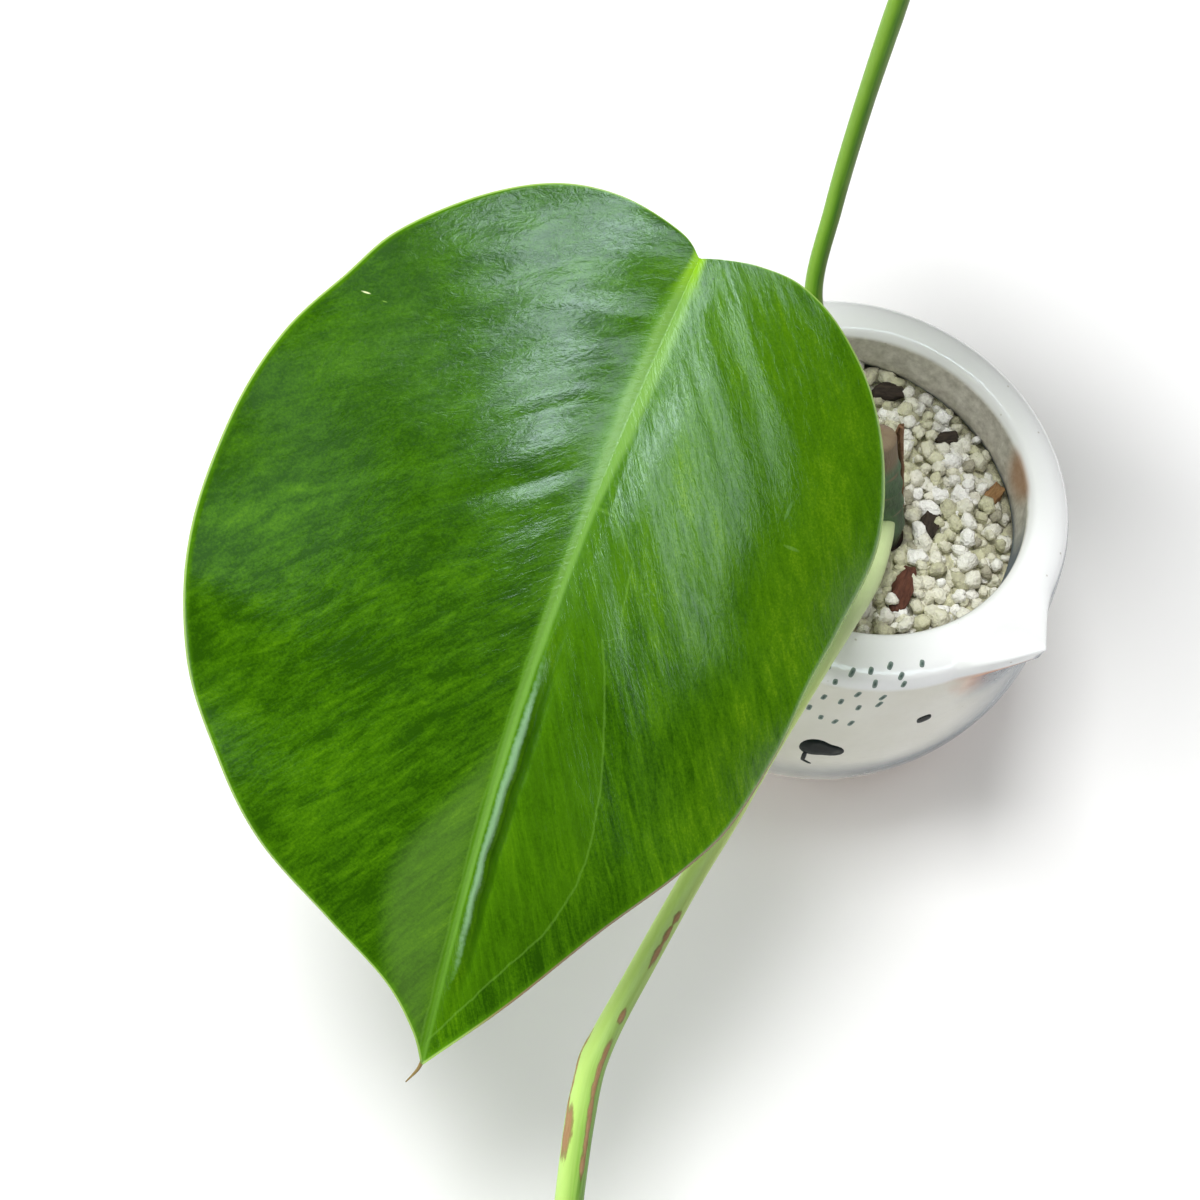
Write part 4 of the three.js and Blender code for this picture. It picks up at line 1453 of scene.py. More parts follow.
@dataclass
class PaintedFace:
    """The painted face: eyes, nose, mouth line and rows of forehead dashes, as thin layers on the glaze."""

    pot: Pot
    lift: float = 0.05
    sink: float = 0.25
    forehead: tuple[Triple, ...] = (
        (-6.6, 57.9, 47.6), (-2.9, 55.8, 48.0), (0.8, 55.0, 48.2), (4.7, 55.2, 48.2), (4.7, 60.5, 47.0),
        (-0.1, 62.2, 46.6), (-4.5, 62.4, 46.6), (9.4, 62.1, 46.6), (9.6, 64.3, 46.1), (3.1, 65.0, 45.9),
        (-8.0, 66.5, 45.5), (-3.5, 67.3, 45.1), (0.0, 69.2, 43.4), (4.9, 69.6, 42.7), (6.4, 68.0, 44.8),
        (10.2, 69.8, 41.6), (13.0, 69.0, 43.6), (13.9, 67.9, 44.8), (19.2, 69.7, 41.8), (-10.6, 62.2, 46.6),
        (-12.4, 67.6, 44.9), (-11.4, 57.4, 47.7), (-15.8, 64.6, 46.0), (-17.0, 69.0, 43.6),
        (-6.4, 69.5, 42.9), (-10.9, 69.6, 42.6), (-19.4, 69.7, 41.8),
    )
    eye: Triple = (23.4, 54.2, 48.4)

    def __post_init__(self) -> None:
        """Measures the pot's outer wall from the foot to the crest."""
        rim = self.pot.rim.dots
        self.wall = [*self.pot.outside.dots, *rim[1 : len(rim) * 3 // 4]]
        self.reaches = [0.0]
        for low, high in zip(self.wall, self.wall[1:]):
            self.reaches.append(self.reaches[-1] + (high - low).length)

    def reach_of(self, radius: float, height: float) -> float:
        """How far up the wall, along its surface, the point nearest to a radius and height lies."""
        spot = Vector((radius, height, 0.0))
        nearest = min(range(len(self.wall)), key=lambda i: (self.wall[i] - spot).length_squared)
        return self.reaches[nearest]

    def _skin(self, turn: float, reach: float) -> tuple[Vector, Vector]:
        """Point and outward normal of the pot's wall.

        Args:
            turn: Angle from the face in radians.
            reach: Distance up the wall from the foot, along its surface.

        Returns:
            The point and the normal.
        """
        i = max(1, min(bisect_left(self.reaches, reach), len(self.wall) - 1))
        gap = self.reaches[i] - self.reaches[i - 1]
        spot = self.wall[i - 1].lerp(self.wall[i], clamp01((reach - self.reaches[i - 1]) / gap))
        point = self.pot.pinched(spot.x, spot.y, turn)
        after = self.pot.pinched(spot.x, spot.y, turn + 0.01)
        climb = self.wall[i] - self.wall[i - 1]
        above = self.pot.pinched(spot.x + climb.x * 0.2, spot.y + climb.y * 0.2, turn)
        return point, (after - point).cross(above - point).normalized()

    def _place(self, turn: float, reach: float, x: float, y: float, out: float) -> Vector:
        """A point that lies x round the pot and y up its wall from a place, lifted out of the glaze."""
        radius = max(self._skin(turn, reach)[0].xy.length, 1.0)
        point, normal = self._skin(turn + x / radius, reach + y)
        return point + normal * out

    def _dab(self, bm: BMesh, stroke: Stroke, outline: Outline) -> None:
        """Adds one dab of paint.

        Args:
            bm: The mesh to add it to.
            stroke: Its place and size.
            outline: Share of the oval's reach at an angle round the dab.
        """
        layer = bm.verts.layers.float["stroke_edge"]
        made = bmesh.ops.create_circle(bm, cap_ends=True, cap_tris=True, radius=1.0, segments=24)["verts"]
        faces = list(dict.fromkeys(face for vert in made for face in vert.link_faces))
        edges = list(dict.fromkeys(edge for face in faces for edge in face.edges))
        split = bmesh.ops.subdivide_edges(bm, edges=edges, cuts=1, use_grid_fill=True)
        verts = dict.fromkeys(vert for face in faces for vert in face.verts)
        verts.update(dict.fromkeys(g for g in split["geom"] if isinstance(g, Vert)))
        faces = list(dict.fromkeys(face for vert in verts for face in vert.link_faces))
        flat = {vert: vert.co.xy.copy() for vert in verts}
        grown = bmesh.ops.extrude_face_region(bm, geom=faces, use_keep_orig=True)
        top = [g for g in grown["geom"] if isinstance(g, Vert)]
        flat.update({vert: vert.co.xy.copy() for vert in top})
        turn = math.radians(stroke.from_face)
        base = self.reach_of(stroke.radius, stroke.height)
        tilt = Matrix.Rotation(math.radians(stroke.slant), 2)
        for vert, spot in flat.items():
            reach = spot.length
            share = outline(math.atan2(spot.y, spot.x))
            local = tilt @ Vector((spot.x * stroke.half_length, spot.y * stroke.half_width)) * share
            vert[layer] = reach
            out = self.lift * (1 - 0.7 * reach**4) if vert in top else -self.sink
            vert.co = self._place(turn, base, local.x, local.y, out)

    def _piece(self, name: str, dabs: Iterable[tuple[Stroke, Outline]], material: Material) -> None:
        """Joins dabs of one paint in a piece.

        Args:
            name: Name of the piece.
            dabs: The strokes, each with its outline.
            material: The paint.
        """
        bm = bmesh.new()
        bm.verts.layers.float.new("stroke_edge")
        for stroke, outline in dabs:
            self._dab(bm, stroke, outline)
        bmesh.ops.recalc_face_normals(bm, faces=bm.faces)
        finish_piece(bm, name, (material,), Slot.GLAZE)

    @staticmethod
    def oval(angle: float) -> float:
        """A squared oval with blunt ends."""
        return (abs(math.cos(angle)) ** 3 + abs(math.sin(angle)) ** 3) ** (-1 / 3)

    @staticmethod
    def nose_outline(angle: float) -> float:
        """A blunt wedge: full on the left and below, drawn out to the right."""
        return 1.0 - 0.34 * math.sin(angle) ** 2 * (1 + 0.9 * math.cos(angle))

    def build(self, dashes: Material, features: Material) -> None:
        """Paints the face.

        Args:
            dashes: Paint of the forehead dashes.
            features: Paint of the eyes, nose and mouth.
        """
        draw = random.Random(12)
        rows = []
        for from_face, height, radius in self.forehead:
            slant = 84 + draw.uniform(-14, 14) - from_face
            long = 0.92 + draw.uniform(-0.14, 0.14)
            rows.append((Stroke(from_face, height, radius, long, 0.5, slant), self.oval))
        side, up, radius = self.eye
        tilts = ((side, 14.0), (-side, 166.0))
        eyes = [(Stroke(turn, up, radius, 1.6, 1.2, slant), self.oval) for turn, slant in tilts]
        nose = [
            (Stroke(0.9, 44.6, 50.3, 4.8, 4.2, -8.0), self.nose_outline),
            (Stroke(-2.2, 40.4, 50.8, 2.2, 0.5, 96.0), self.oval),
            (Stroke(-0.9, 37.6, 51.0, 1.5, 0.42, -38.0), self.oval),
        ]
        self._piece("forehead_dashes", rows, dashes)
        self._piece("painted_eyes", eyes, features)
        self._piece("painted_nose", nose, features)


@dataclass
class Filling:
    """Potting mix, its top layer of perlite and the bark chips that lie in it."""

    mix_top: float = 54.6
    mix_floor: float = 5.6
    stem_at: Pair = (8.8, -3.6)
    stem_clear: float = 4.7
    stem_hole: float = 4.9
    grain_small: float = 0.85
    grain_large: float = 2.25
    fines_base: float = 53.4
    fines_top: float = 55.7
    layers: tuple[Triple, ...] = ((55.7, 3.3, 0.0), (57.2, 3.5, 0.2), (57.6, 6.1, 0.45))
    bed_reach: float = 44.0
    seed: int = 41
    chip_height: float = 1.9
    wall_radii: tuple[Pair, ...] = ((48.0, 42.2), (54.0, 38.6), (58.0, 36.6), (66.8, 35.0))

    def wall_at(self, height: float) -> float:
        """Radius of the pot's inner wall above the belly, at a height."""
        return in_steps(self.wall_radii, height)

    def build_mix(self, material: Material) -> None:
        """Builds the body of potting mix with a crumbly top.

        Args:
            material: The mix.
        """
        top, brink = self.mix_top, self.wall_at(self.mix_top) - 0.4
        side = [(28.5, self.mix_floor), (33.1, 7.7), (42.3, 20.0), (45.3, 38.0), (43.6, 49.0)]
        rings = [(0.0, self.mix_floor), *side, (brink, top - 0.4)]
        rings += [(brink - 1.5 * i, top) for i in range(1, 27)] + [(0.0, top)]
        bm = bmesh.new()
        spin_outline(bm, rings, 120)
        bmesh.ops.remove_doubles(bm, verts=bm.verts, dist=0.01)
        for vert in bm.verts:
            if vert.co.z > top - 0.2:
                vert.co.z += 0.8 * noise.noise(vert.co * 0.45) + 0.4 * noise.noise(vert.co * 1.3)
        bmesh.ops.recalc_face_normals(bm, faces=bm.faces)
        finish_piece(bm, "mix_body", (material,), Slot.MIX, ("potting_mix",))

    def _spots(self, draw: random.Random) -> Iterable[tuple[Vector, float]]:
        """Places and sizes of the perlite grains, by a seeded rule.

        Args:
            draw: The stream of random numbers.

        Yields:
            The middle and the radius of each grain.
        """
        chips = [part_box(name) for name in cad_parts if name.startswith("bark_chip")]
        clear = [((low + high) / 2 / MM, (high - low).xy.length / 2 / MM) for low, high in chips]
        for level, pitch, missing in self.layers:
            count = int(self.bed_reach / pitch) + 1
            for row in range(-count, count + 1):
                for column in range(-count, count + 1):
                    x = (column + 0.5 * (row % 2)) * pitch + draw.uniform(-0.3, 0.3) * pitch
                    y = row * pitch * 0.866 + draw.uniform(-0.3, 0.3) * pitch
                    radius = lerp(self.grain_small, self.grain_large, draw.random() ** 0.8)
                    height = level + draw.uniform(-0.55, 0.55)
                    absent = draw.random() < missing
                    spot = Vector((x, y, height))
                    if absent or spot.xy.length + radius * 0.6 > self.wall_at(height) - 0.1:
                        continue
                    if (spot.xy - Vector(self.stem_at)).length < self.stem_clear + radius:
                        continue
                    if any((spot.xy - chip.xy).length < size * 0.5 + radius * 0.4 for chip, size in clear):
                        continue
                    yield spot, radius

    def _fines(self, bm: BMesh, tone: bmesh.types.BMLayerItem) -> None:
        """Adds the rough bed of perlite fines below the grains.

        Args:
            bm: The mesh to add it to.
            tone: The layer of the grains' tone.
        """
        rings = [(self.stem_hole, self.fines_base), (39.6, self.fines_base), (39.9, 55.0)]
        rings += [(39.9 - 1.25 * i, self.fines_top) for i in range(1, 28)]
        spin_outline(bm, [*rings, (self.stem_hole, self.fines_top)], 150, closed=True)
        for vert in bm.verts:
            share = 1 - smooth(self.stem_hole, 34.0, vert.co.xy.length)
            rough = noise.noise(vert.co * 0.8) + 0.6 * noise.noise(vert.co * 1.9)
            vert.co += Vector((*self.stem_at, 0.0)) * share
            if vert.co.z > 54.9:
                vert.co.z += 0.75 * rough
            vert[tone] = clamp01(0.16 + 0.3 * rough)

    def build_perlite(self, material: Material) -> None:
        """Scatters the perlite grains.

        Args:
            material: The perlite.
        """
        draw = random.Random(self.seed)
        bm = bmesh.new()
        tone = bm.verts.layers.float.new("tone")
        self._fines(bm, tone)
        for spot, radius in self._spots(draw):
            turn = Matrix.Rotation(draw.uniform(0, math.tau), 4, "Z")
            turn @= Matrix.Rotation(draw.uniform(0, 3), 4, "X")
            sizes = [draw.uniform(low, high) for low, high in ((0.85, 1.2), (0.8, 1.1), (0.7, 0.95))]
            place = Matrix.Translation(spot) @ turn @ Matrix.Diagonal((*sizes, 1))
            made = bmesh.ops.create_icosphere(bm, subdivisions=2, radius=radius * 1.04, matrix=place)["verts"]
            shade = clamp01(draw.gauss(0.55, 0.28))
            for vert in made:
                rough = noise.noise(vert.co * 0.8) * 0.5 + noise.noise(vert.co * 2.2) * 0.3
                vert.co = spot + (vert.co - spot) * (1 + rough)
                vert[tone] = shade
        bmesh.ops.recalc_face_normals(bm, faces=bm.faces)
        finish_piece(bm, "perlite_grains", (material,), Slot.PERLITE, ("perlite_bed",))

    def build_chip(
        self, node: str, length: float, width: float, turn: float, material: Material, slot: Slot
    ) -> None:
        """Builds one chip of bark as a rough, split sliver.

        Args:
            node: The frame's node that it stands for.
            length: Its length.
            width: Its width.
            turn: Its angle on the bed, in degrees.
            material: The bark.
            slot: The record's slot of its finish.
        """
        low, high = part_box(node)
        middle = (low + high) / 2 / MM
        bm = bmesh.new()
        layer = bm.verts.layers.float_vector.new("chip_place")
        bmesh.ops.create_cube(bm, size=1.0)
        rounding = {"offset": 0.16, "segments": 2, "profile": 0.5, "affect": "EDGES", "material": -1}
        bmesh.ops.bevel(bm, geom=list(bm.edges), **rounding)
        bmesh.ops.subdivide_edges(bm, edges=list(bm.edges), cuts=4, use_grid_fill=True)
        seed = Vector((len(node) * 3.1, turn * 0.37, length))
        place = Matrix.Translation(middle) @ Matrix.Rotation(math.radians(turn), 4, "Z")
        for vert in bm.verts:
            taper = 1 - 0.35 * smooth(0.2, 0.5, abs(vert.co.x))
            local = Vector((vert.co.x * length, vert.co.y * width * taper, vert.co.z * self.chip_height))
            split = noise.noise(Vector((local.x * 0.25, local.y * 1.6, local.z * 1.2)) + seed)
            lump = noise.noise(local * 0.55 + seed)
            ragged = noise.noise_vector(local * 0.5 - seed)
            local += Vector((1.1 * ragged.x, 0.7 * ragged.y + 0.35 * lump, 0.5 * split + 0.25 * lump - 0.35))
            vert[layer] = local
            vert.co = place @ local
        bmesh.ops.recalc_face_normals(bm, faces=bm.faces)
        finish_piece(bm, f"{node}_sliver", (material,), slot, (node,))


@dataclass
class DryBase:
    """Dry base of a shed leaf: a thin cupped strip that stands against the stem."""

    start: Triple = (10.6, 1.9, 61.5)
    end: Triple = (2.6, 2.4, 87.0)
    faces: Triple = (0.8, 0.6, 0.0)
    half_width: float = 2.6
    thickness: float = 0.7

    def build(self, material: Material) -> None:
        """Builds the strip.

        Args:
            material: Dry brown leaf tissue.
        """
        start, along = Vector(self.start), Vector(self.end) - Vector(self.start)
        outward = Vector(self.faces)
        outward = (outward - along * (outward.dot(along) / along.length_squared)).normalized()
        across = along.cross(outward).normalized()
        bm = bmesh.new()
        layer = bm.verts.layers.float_vector.new("chip_place")
        bmesh.ops.create_grid(bm, x_segments=14, y_segments=50, size=1.0)
        for vert in bm.verts:
            side, t = vert.co.x, (vert.co.y + 1) / 2
            fray = 1 + 0.12 * ruffle(side * 2, t * 12)
            width = self.half_width * (1 - 0.8 * t**3) * fray
            curl = -0.9 * side * side + 1.2 * t * t + 0.25 * ruffle(side * 3, t * 6, 5)
            vert[layer] = Vector((t * along.length, side * width, 0))
            vert.co = start + along * t + across * (side * width) + outward * (curl + 0.1)
        bmesh.ops.recalc_face_normals(bm, faces=bm.faces)
        bmesh.ops.solidify(bm, geom=list(bm.faces), thickness=self.thickness)
        finish_piece(bm, "dry_base_strip", (material,), Slot.DRY_BASE, ("dry_leaf_base",))


MAIN_LEFT: tuple[Pair, ...] = (
    (0, 0), (-4, -2.9), (-15, -5.2), (-26, -3.8), (-37, 2), (-47.5, 11.5), (-53, 20.5), (-59.5, 33),
    (-63.5, 52), (-63, 68), (-57, 88), (-47, 101), (-36, 111.5), (-22, 119.6), (-10, 126.4), (-3.2, 133),
    (0, 138.4),
)
MAIN_RIGHT: tuple[Pair, ...] = (
    (0, 0), (4, -1), (10, -1.9), (17.5, -1.5), (26, 2.4), (35, 10.2), (41.5, 20.5), (45.2, 34),
    (43.5, 49), (41, 60), (39.5, 73), (36, 86), (30, 95.5), (21, 107.5), (11, 122.5), (3.6, 133), (0, 138.4),
)


def scaled(outline: Sequence[Pair], across: float, along: float) -> tuple[Pair, ...]:
    """Scales an outline across and along the blade."""
    return tuple((u * across, v * along) for u, v in outline)


@dataclass
class Plant:
    """The young plant: a short stem, three leaf stalks and their blades."""

    effects: SharedEffects
    view_left: Triple = (-0.985, -0.105, -0.134)

    def blade_forms(self) -> list[BladeForm]:
        """Sizes of the three blades.

        Returns:
            The main blade, the upright leaf's and the arching leaf's.
        """
        main = BladeForm(
            name="main", sinus=(-46.8, -6.8, 140), tip=(-71.3, -128.8, 79.5),
            faces=(-0.0653, -0.4328, 0.8991), left=MAIN_LEFT, right=MAIN_RIGHT,
            arch=6, fall_left=0.0018, fall_right=0.0095, sway=-4, ripple=1.1, ripple_phase=0.4, creased=True, seed=1,
        )
        upright = BladeForm(
            name="upright", sinus=(-20.6, 37.5, 197), tip=(3, 124, 158), faces=(0.05, 0.38, 0.92),
            left=scaled(MAIN_RIGHT, -1.02, 0.71), right=scaled(MAIN_LEFT, -0.72, 0.71),
            arch=7, fall_left=0.0055, fall_right=0.0045, sway=2.5, ripple=1, ripple_phase=1.7,
            columns=110, rows=140, seed=2,
        )
        arching = BladeForm(
            name="arching", sinus=(-37, -178, 45), tip=(-24, -260, 17), faces=(0.06, -0.33, 0.94),
            left=scaled(MAIN_LEFT, 0.66, 0.64), right=scaled(MAIN_RIGHT, 0.92, 0.64),
            arch=5, fall_left=0.0038, fall_right=0.0052, sway=-2, ripple=0.8, ripple_phase=2.9,
            columns=110, rows=140, seed=3,
        )
        return [main, upright, arching]

    def build_blades(self) -> dict[str, Blade]:
        """Builds the blades.

        Returns:
            The blades by name.
        """
        finish = BladeFinish()
        marked = finish.upper("blade_upper_marked", self.effects, marked=True)
        upper, lower = finish.upper("blade_upper", self.effects), finish.lower(self.effects)
        blades = {}
        for form in self.blade_forms():
            blade = Blade(form)
            blade.build(marked if form.creased else upper, lower)
            blades[form.name] = blade
        return blades

    @staticmethod
    def stalk_end(blade: Blade) -> list[Triple]:
        """The last two points of a stalk, which comes up under its blade to the sinus."""
        spots = ((1.0, -8.0), (1.4, -3.0), (0.9, -0.9))
        return [tuple(blade.origin + blade.along * along + blade.out * up) for along, up in spots]

    def build_stalks(self, blades: dict[str, Blade]) -> None:
        """Builds the three leaf stalks.

        Args:
            blades: The blades that they carry.
        """
        pale = StalkFinish(lit="#b6db74", middle="#a5cf5f", shaded="#84b340", far="#5d8c28")
        # the arching stalk is painted paler from 62 mm on, where the main blade shades it
        near_stem = replace(pale, painted_lift_from=62.0)
        deep = StalkFinish(lit="#7fae2c", middle="#5a9208", shaded="#3f7404", far="#5c7a20")
        pale_skin = pale.material("pale_stalk", self.effects)
        wash_and_light_skin = near_stem.material("wash_and_light_stalk", self.effects)
        deep_skin = deep.material("deep_stalk", self.effects)
        main = Rod(
            path=[
                (-0.8, -2.4, 84), (-6, -4, 93), (-14, -5, 104), (-24, -7, 113), (-34, -8, 120),
                (-41.5, -6.5, 126), *self.stalk_end(blades["main"]),
            ],
            radii=[2.5, 2.1, 1.9, 1.9, 2.1, 1.7, 1.5],
            lead=Vector((0, 1, 0.3)),
            ripe=(60.0, 74.0),
        )
        main.build("main_stalk", pale_skin, Slot.STALK, ("stalk_main",))
        upright = Rod(
            path=[
                (3.4, -2.2, 73), (-3, 5, 79), (-11, 13.5, 88), (-18.4, 21.6, 98.3), (-19.9, 27.6, 117.7),
                (-21.3, 29.4, 140.6), (-22.4, 29.8, 166), (-22.5, 31.4, 181),
                *self.stalk_end(blades["upright"]),
            ],
            radii=[2.4, 2.1, 1.8, 1.7, 1.7, 1.65, 1.7, 1.5, 1.3],
            lead=Vector(self.view_left),
            ripe=(136.0, 146.0),
        )
        upright.build("upright_stalk", deep_skin, Slot.STALK, ("stalk_upright",))
        arching = Rod(
            path=[
                (7.2, -3.4, 62.5), (6.4, -10, 64.3), (3.9, -20, 68), (0.7, -27.6, 73), (-4.5, -38.2, 77.2),
                (-8.4, -46, 78), (-15.9, -62.1, 73), (-21.6, -75.2, 68.2), (-27.4, -87.5, 65.4),
                (-34.9, -104.9, 62.6), (-40.2, -117.8, 61.2), (-42, -126.5, 59.2), (-42.3, -139.8, 55.6),
                (-41.6, -152, 50.5), (-39, -166, 42), *self.stalk_end(blades["arching"]),
            ],
            radii=[2.4, 2.1, 2.1, 2.1, 2.1, 2.1, 2.2, 2.65, 2.5, 1.7, 1.5],
            lead=Vector(self.view_left),
            scars=self.arching_scars(),
            shape=self.arching_shape,
            ripe=(176.0, 186.0),
        )
        arching.build("arching_stalk", wash_and_light_skin, Slot.STALK, ("stalk_arching",))

    @staticmethod
    def arching_scars() -> list[Scar]:
        """Corky scars seen on the arching stalk, on its right side and past the kink on both.

        Returns:
            The scars.
        """
        right, left = math.radians(232), math.radians(322)
        spots = [(104.0, 1.3), (107.8, 2.0), (111.4, 2.8), (124.3, 1.4)]
        scars = [Scar(along, right, half, 0.62) for along, half in spots]
        scars += [Scar(131.0 + 3.2 * i, right + 0.06 * math.sin(i), 2.6, 0.55) for i in range(7)]
        scars += [Scar(131.0 + 3.4 * i, left + 0.35, 2.4, 0.34) for i in range(4)]
        return scars + [Scar(145.6, left, 4.6, 1.05)]

    @staticmethod
    def arching_shape(along: float, turn: float) -> float:
        """The shoulder at the arching stalk's kink, and the shallow channel below it."""
        shoulder = 0.35 * hump(along, 132.5, 3.0) * max(0.0, math.cos(turn))
        low = smooth(130, 138, along) * (1 - smooth(166, 176, along))
        channel = 0.4 * low * hump(turn, math.radians(262), 0.34)
        flank = 0.15 * smooth(96, 110, along) * hump(turn, math.radians(212), 0.3)
        return shoulder - channel - flank

    def build_stem(self) -> None:
        """Builds the stem."""
        skin = StemFinish().material(self.effects)
        rings = [20.5, 28.0, 35.5, 43.0, 50.0]

        def knuckles(along: float, turn: float) -> float:
            """Leaf scars round the stem and shallow wrinkles along it."""
            bump = sum(0.32 * hump(along, ring + 0.8 * math.sin(turn + ring), 0.9) for ring in rings)
            return bump + 0.12 * ruffle(math.cos(turn) * 3, math.sin(turn) * 3, along * 0.2)

        scars = [Scar(ring, math.tau * k / 3 + ring, 0.8, 3.2) for ring in rings for k in range(3)]
        stem = Rod(
            path=[
                (9.4, -4, 31), (9, -3.8, 46), (8.3, -3.4, 58), (4.5, -2.4, 70), (0, -2.6, 83),
                (-1.8, -2.2, 89),
            ],
            radii=[3.0, 4.1, 4.2, 4.0, 3.9, 3.4],
            lead=Vector((0, 1, 0)),
            scars=scars,
            shape=knuckles,
        )
        stem.build("stem_piece", skin, Slot.STEM, ("stem",))

    def build_tail(self, blade: Blade) -> None:
        """Builds the dry drip tail past the tip of a blade.

        Args:
            blade: The blade that it ends.
        """
        dry = BarkFinish(dark="#6f5a2e", light="#b09a63").material("dry_tail", self.effects)
        tip = blade.origin + blade.along * blade.length
        steps = ((-1.6, 0.4, 0.0), (0.8, 0.5, 0.3), (3.6, 1.1, 1.5))
        path = [tip + blade.along * on - blade.out * down - blade.across * left for on, down, left in steps]
        tail = Rod(path, radii=[0.42, 0.26, 0.1], lead=blade.across, ring_gap=0.3, sides=12)
        tail.build("drip_tail", dry, Slot.DRY_BASE)


SKY: Triple = (0.76, 0.94, 1.0)
STRIP_RUNS: Triple = (0.88, -0.475, 0.0)


class LightUse(Enum):
    """What a light panel is for."""

    FILL = "fill"
    GLOSS = "gloss"


@dataclass(frozen=True)
class Panel:
    """A soft light panel, by its place over the plant, its size and its brightness."""

    name: str
    place: Triple
    width: float
    height: float
    strength: float
    use: LightUse
    colour: Triple = (1.0, 1.0, 1.0)
    width_runs: Triple = (1.0, 0.0, 0.0)
    level: bool = False


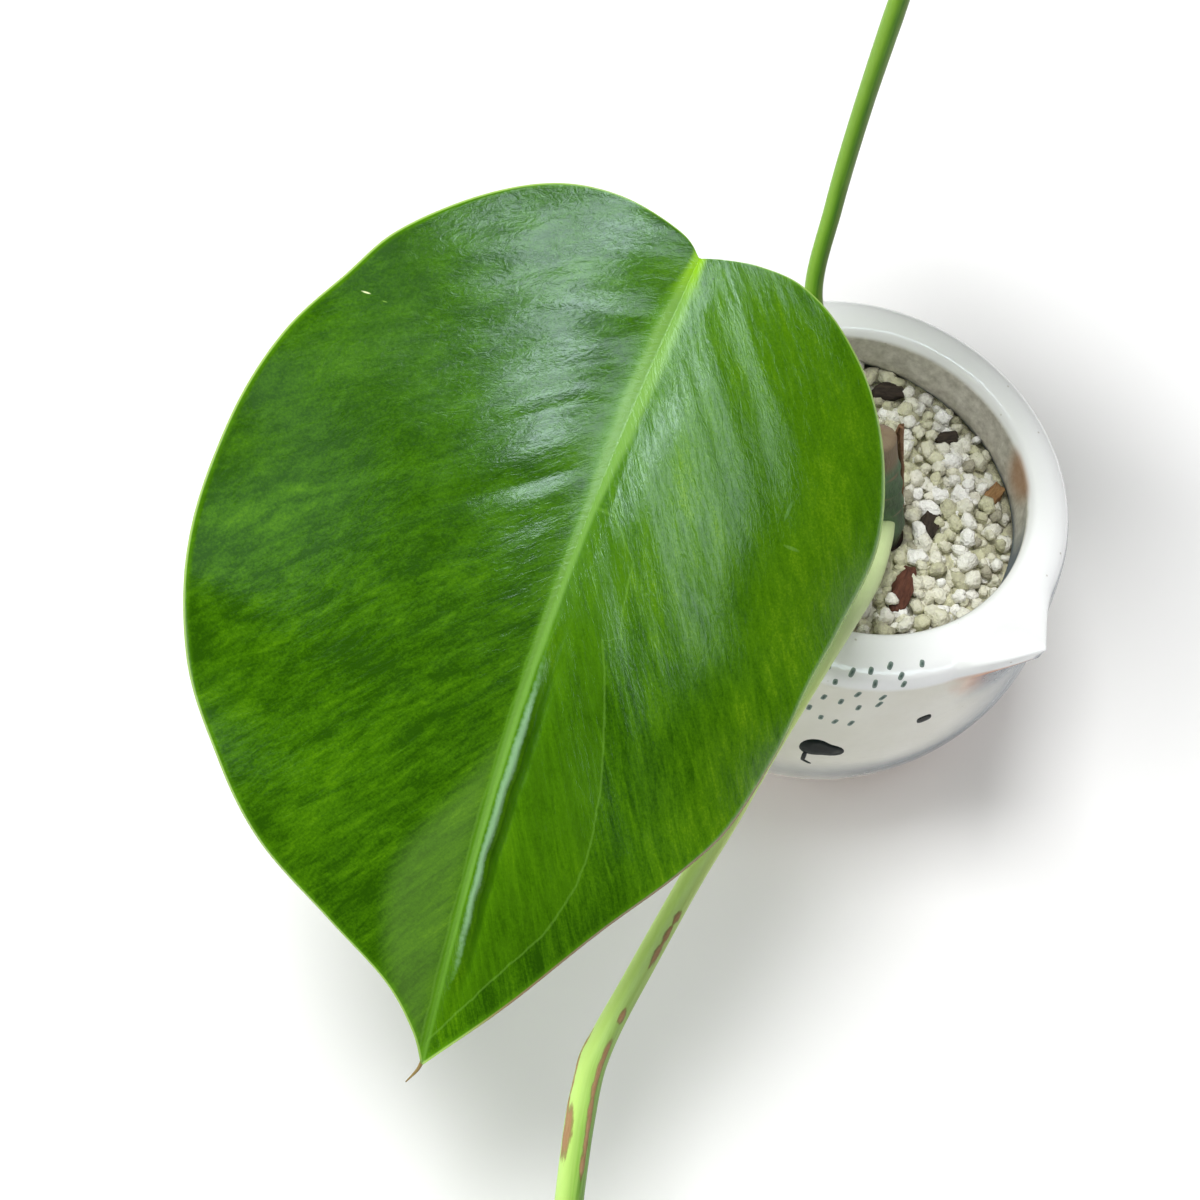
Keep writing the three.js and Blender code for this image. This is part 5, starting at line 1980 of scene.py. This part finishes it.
@dataclass
class Studio:
    """Pale floor, soft panels and the camera at the photograph's viewing angle."""

    focus: Triple = (-0.055, -0.06, 0.11)
    camera_at: Triple = (-0.07407, -0.17073, 0.3505)
    camera_right: Triple = (0.9854, 0.1055, 0.1335)
    camera_up: Triple = (-0.1523, 0.8966, 0.4159)
    lens: float = 48.48
    floor_size: float = 6.0
    floor_colour: Colour = (0.93, 0.93, 0.93, 1.0)
    ambient: float = 0.38
    panels: tuple[Panel, ...] = (
        Panel("key_panel", (-0.42, 0.28, 1.4), 0.55, 0.55, 15.5, LightUse.FILL),
        Panel("left_fill", (-1.0, -0.25, 0.6), 0.6, 0.5, 4.2, LightUse.FILL),
        Panel("right_fill", (0.45, 0.2, 1.2), 0.5, 0.4, 2.0, LightUse.FILL),
        Panel("near_strip", (-0.168, 0.189, 0.9), 0.26, 0.27, 7.0, LightUse.GLOSS, SKY, STRIP_RUNS, True),
        Panel("bright_strip", (-0.049, -0.097, 0.9), 0.26, 0.15, 11.5, LightUse.GLOSS, SKY, STRIP_RUNS, True),
        Panel("middle_strip", (0.381, -0.216, 0.9), 0.63, 0.19, 4.4, LightUse.GLOSS, SKY, STRIP_RUNS, True),
        Panel("far_strip", (0.99, -0.436, 0.9), 0.65, 0.26, 3.2, LightUse.GLOSS, SKY, STRIP_RUNS, True),
        Panel("left_window", (-0.615, -0.125, 0.832), 0.3, 0.6, 0.55, LightUse.GLOSS, SKY),
    )

    def build_camera(self) -> None:
        """Places the camera, turned as the photograph was taken."""
        data = bpy.data.cameras.new("camera")
        data.lens = self.lens
        data.clip_start = 0.01
        camera = bpy.data.objects.new("camera", data)
        right, up = Vector(self.camera_right).normalized(), Vector(self.camera_up).normalized()
        back = right.cross(up).normalized()
        up = back.cross(right)
        axes = Matrix((right, up, back)).transposed().to_4x4()
        camera.matrix_world = Matrix.Translation(self.camera_at) @ axes
        bpy.context.scene.collection.objects.link(camera)
        bpy.context.scene.camera = camera

    def build_lights(self) -> None:
        """Hangs the panels round the plant."""
        for panel in self.panels:
            data = bpy.data.lights.new(panel.name, "AREA")
            data.shape = "RECTANGLE"
            data.size = panel.width
            data.size_y = panel.height
            data.color = panel.colour
            data.energy = panel.strength * 4 * panel.width * panel.height
            light = bpy.data.objects.new(panel.name, data)
            light.visible_glossy = panel.use is LightUse.GLOSS
            light.visible_diffuse = panel.use is LightUse.FILL
            back = Vector((0.0, 0.0, 1.0)) if panel.level else Vector(panel.place).normalized()
            run = Vector(panel.width_runs)
            run = (run - back * run.dot(back)).normalized()
            axes = Matrix((run, back.cross(run), back)).transposed().to_4x4()
            light.matrix_world = Matrix.Translation(Vector(self.focus) + Vector(panel.place)) @ axes
            bpy.context.scene.collection.objects.link(light)

    def build_world(self) -> None:
        """Gives the room a soft even fill, which gloss doesn't see."""
        world = bpy.data.worlds.new("studio")
        bpy.context.scene.world = world
        world.use_nodes = True
        world.cycles_visibility.glossy = False
        bench = NodeBench(world.node_tree)
        bench.tree.nodes.clear()
        seen = bench.wire("ShaderNodeLightPath", output="Is Camera Ray")
        strength = bench.wire("ShaderNodeMapRange", {0: seen, 3: self.ambient, 4: 1.0})
        sky = bench.wire("ShaderNodeBackground", {0: (1.0, 1.0, 1.0, 1.0), 1: strength})
        bench.add("ShaderNodeOutputWorld", {0: sky})

    def build_floor(self) -> None:
        """Lays the plain pale floor."""
        bm = bmesh.new()
        bmesh.ops.create_grid(bm, x_segments=1, y_segments=1, size=self.floor_size / 2)
        mesh = bpy.data.meshes.new("floor")
        bm.to_mesh(mesh)
        bm.free()
        plain = {"Base_Color": self.floor_colour, "Roughness": 0.9, "Specular_IOR_Level": 0.1}
        mesh.materials.append(Surface("pale_floor", **plain).material)
        floor = bpy.data.objects.new("floor", mesh)
        bpy.context.scene.collection.objects.link(floor)
        floor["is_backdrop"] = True

    def build(self) -> None:
        """Sets the whole studio up."""
        bpy.context.scene.view_settings.view_transform = "Standard"
        self.build_camera()
        self.build_lights()
        self.build_world()
        self.build_floor()


def build_filling(effects: SharedEffects) -> None:
    """Fills the pot.

    Args:
        effects: The shared node groups.
    """
    filling = Filling()
    filling.build_mix(MixFinish().material(effects))
    filling.build_perlite(GrainFinish().material(effects))
    red = BarkFinish(dark="#3f2219", light="#7d4f3d").material("red_bark", effects)
    tan = BarkFinish(dark="#7a5534", light="#c19a6b").material("tan_bark", effects)
    dark = BarkFinish(dark="#201a16", light="#584a3e").material("dark_bark", effects)
    filling.build_chip("bark_chip_red", 10.5, 4.2, 74, red, Slot.RED_BARK)
    filling.build_chip("bark_chip_tan", 5.6, 3.2, 58, tan, Slot.TAN_BARK)
    shapes = [(5.2, 3.8, 20), (7.2, 3.8, 80), (7.5, 4.4, -35), (6.4, 4.6, 65), (6.8, 3.6, 8)]
    for number, (length, width, turn) in enumerate(shapes, start=1):
        filling.build_chip(f"bark_chip_dark_{number}", length, width, turn, dark, Slot.DARK_BARK)


def write_sizes() -> None:
    """Works out the frame's box and the dressed plant's box; nothing is written."""
    boxes = {"cad": CAD_BOX, "visual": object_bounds()}
    {name: [list(corner) for corner in box] for name, box in boxes.items()}


def main() -> None:
    """Builds the studio, the pot, its filling and the plant."""
    logging.basicConfig(level=logging.INFO, format="%(name)s: %(message)s")
    Studio().build()
    effects = SharedEffects()
    pot = Pot()
    pot.build(GlazeFinish().material(pot, effects))
    dashes = PaintFinish(dark="#465a53", thin="#8d9d95").material("dash_paint")
    features = PaintFinish(dark="#0b0f0e", thin="#1c2522").material("feature_paint")
    PaintedFace(pot).build(dashes, features)
    build_filling(effects)
    plant = Plant(effects)
    blades = plant.build_blades()
    plant.build_stalks(blades)
    plant.build_stem()
    plant.build_tail(blades["main"])
    dry = BarkFinish(dark="#77533c", light="#ad8a6a").material("dry_leaf_tissue", effects)
    DryBase().build(dry)


if __name__ == "__main__":
    main()
    write_sizes()
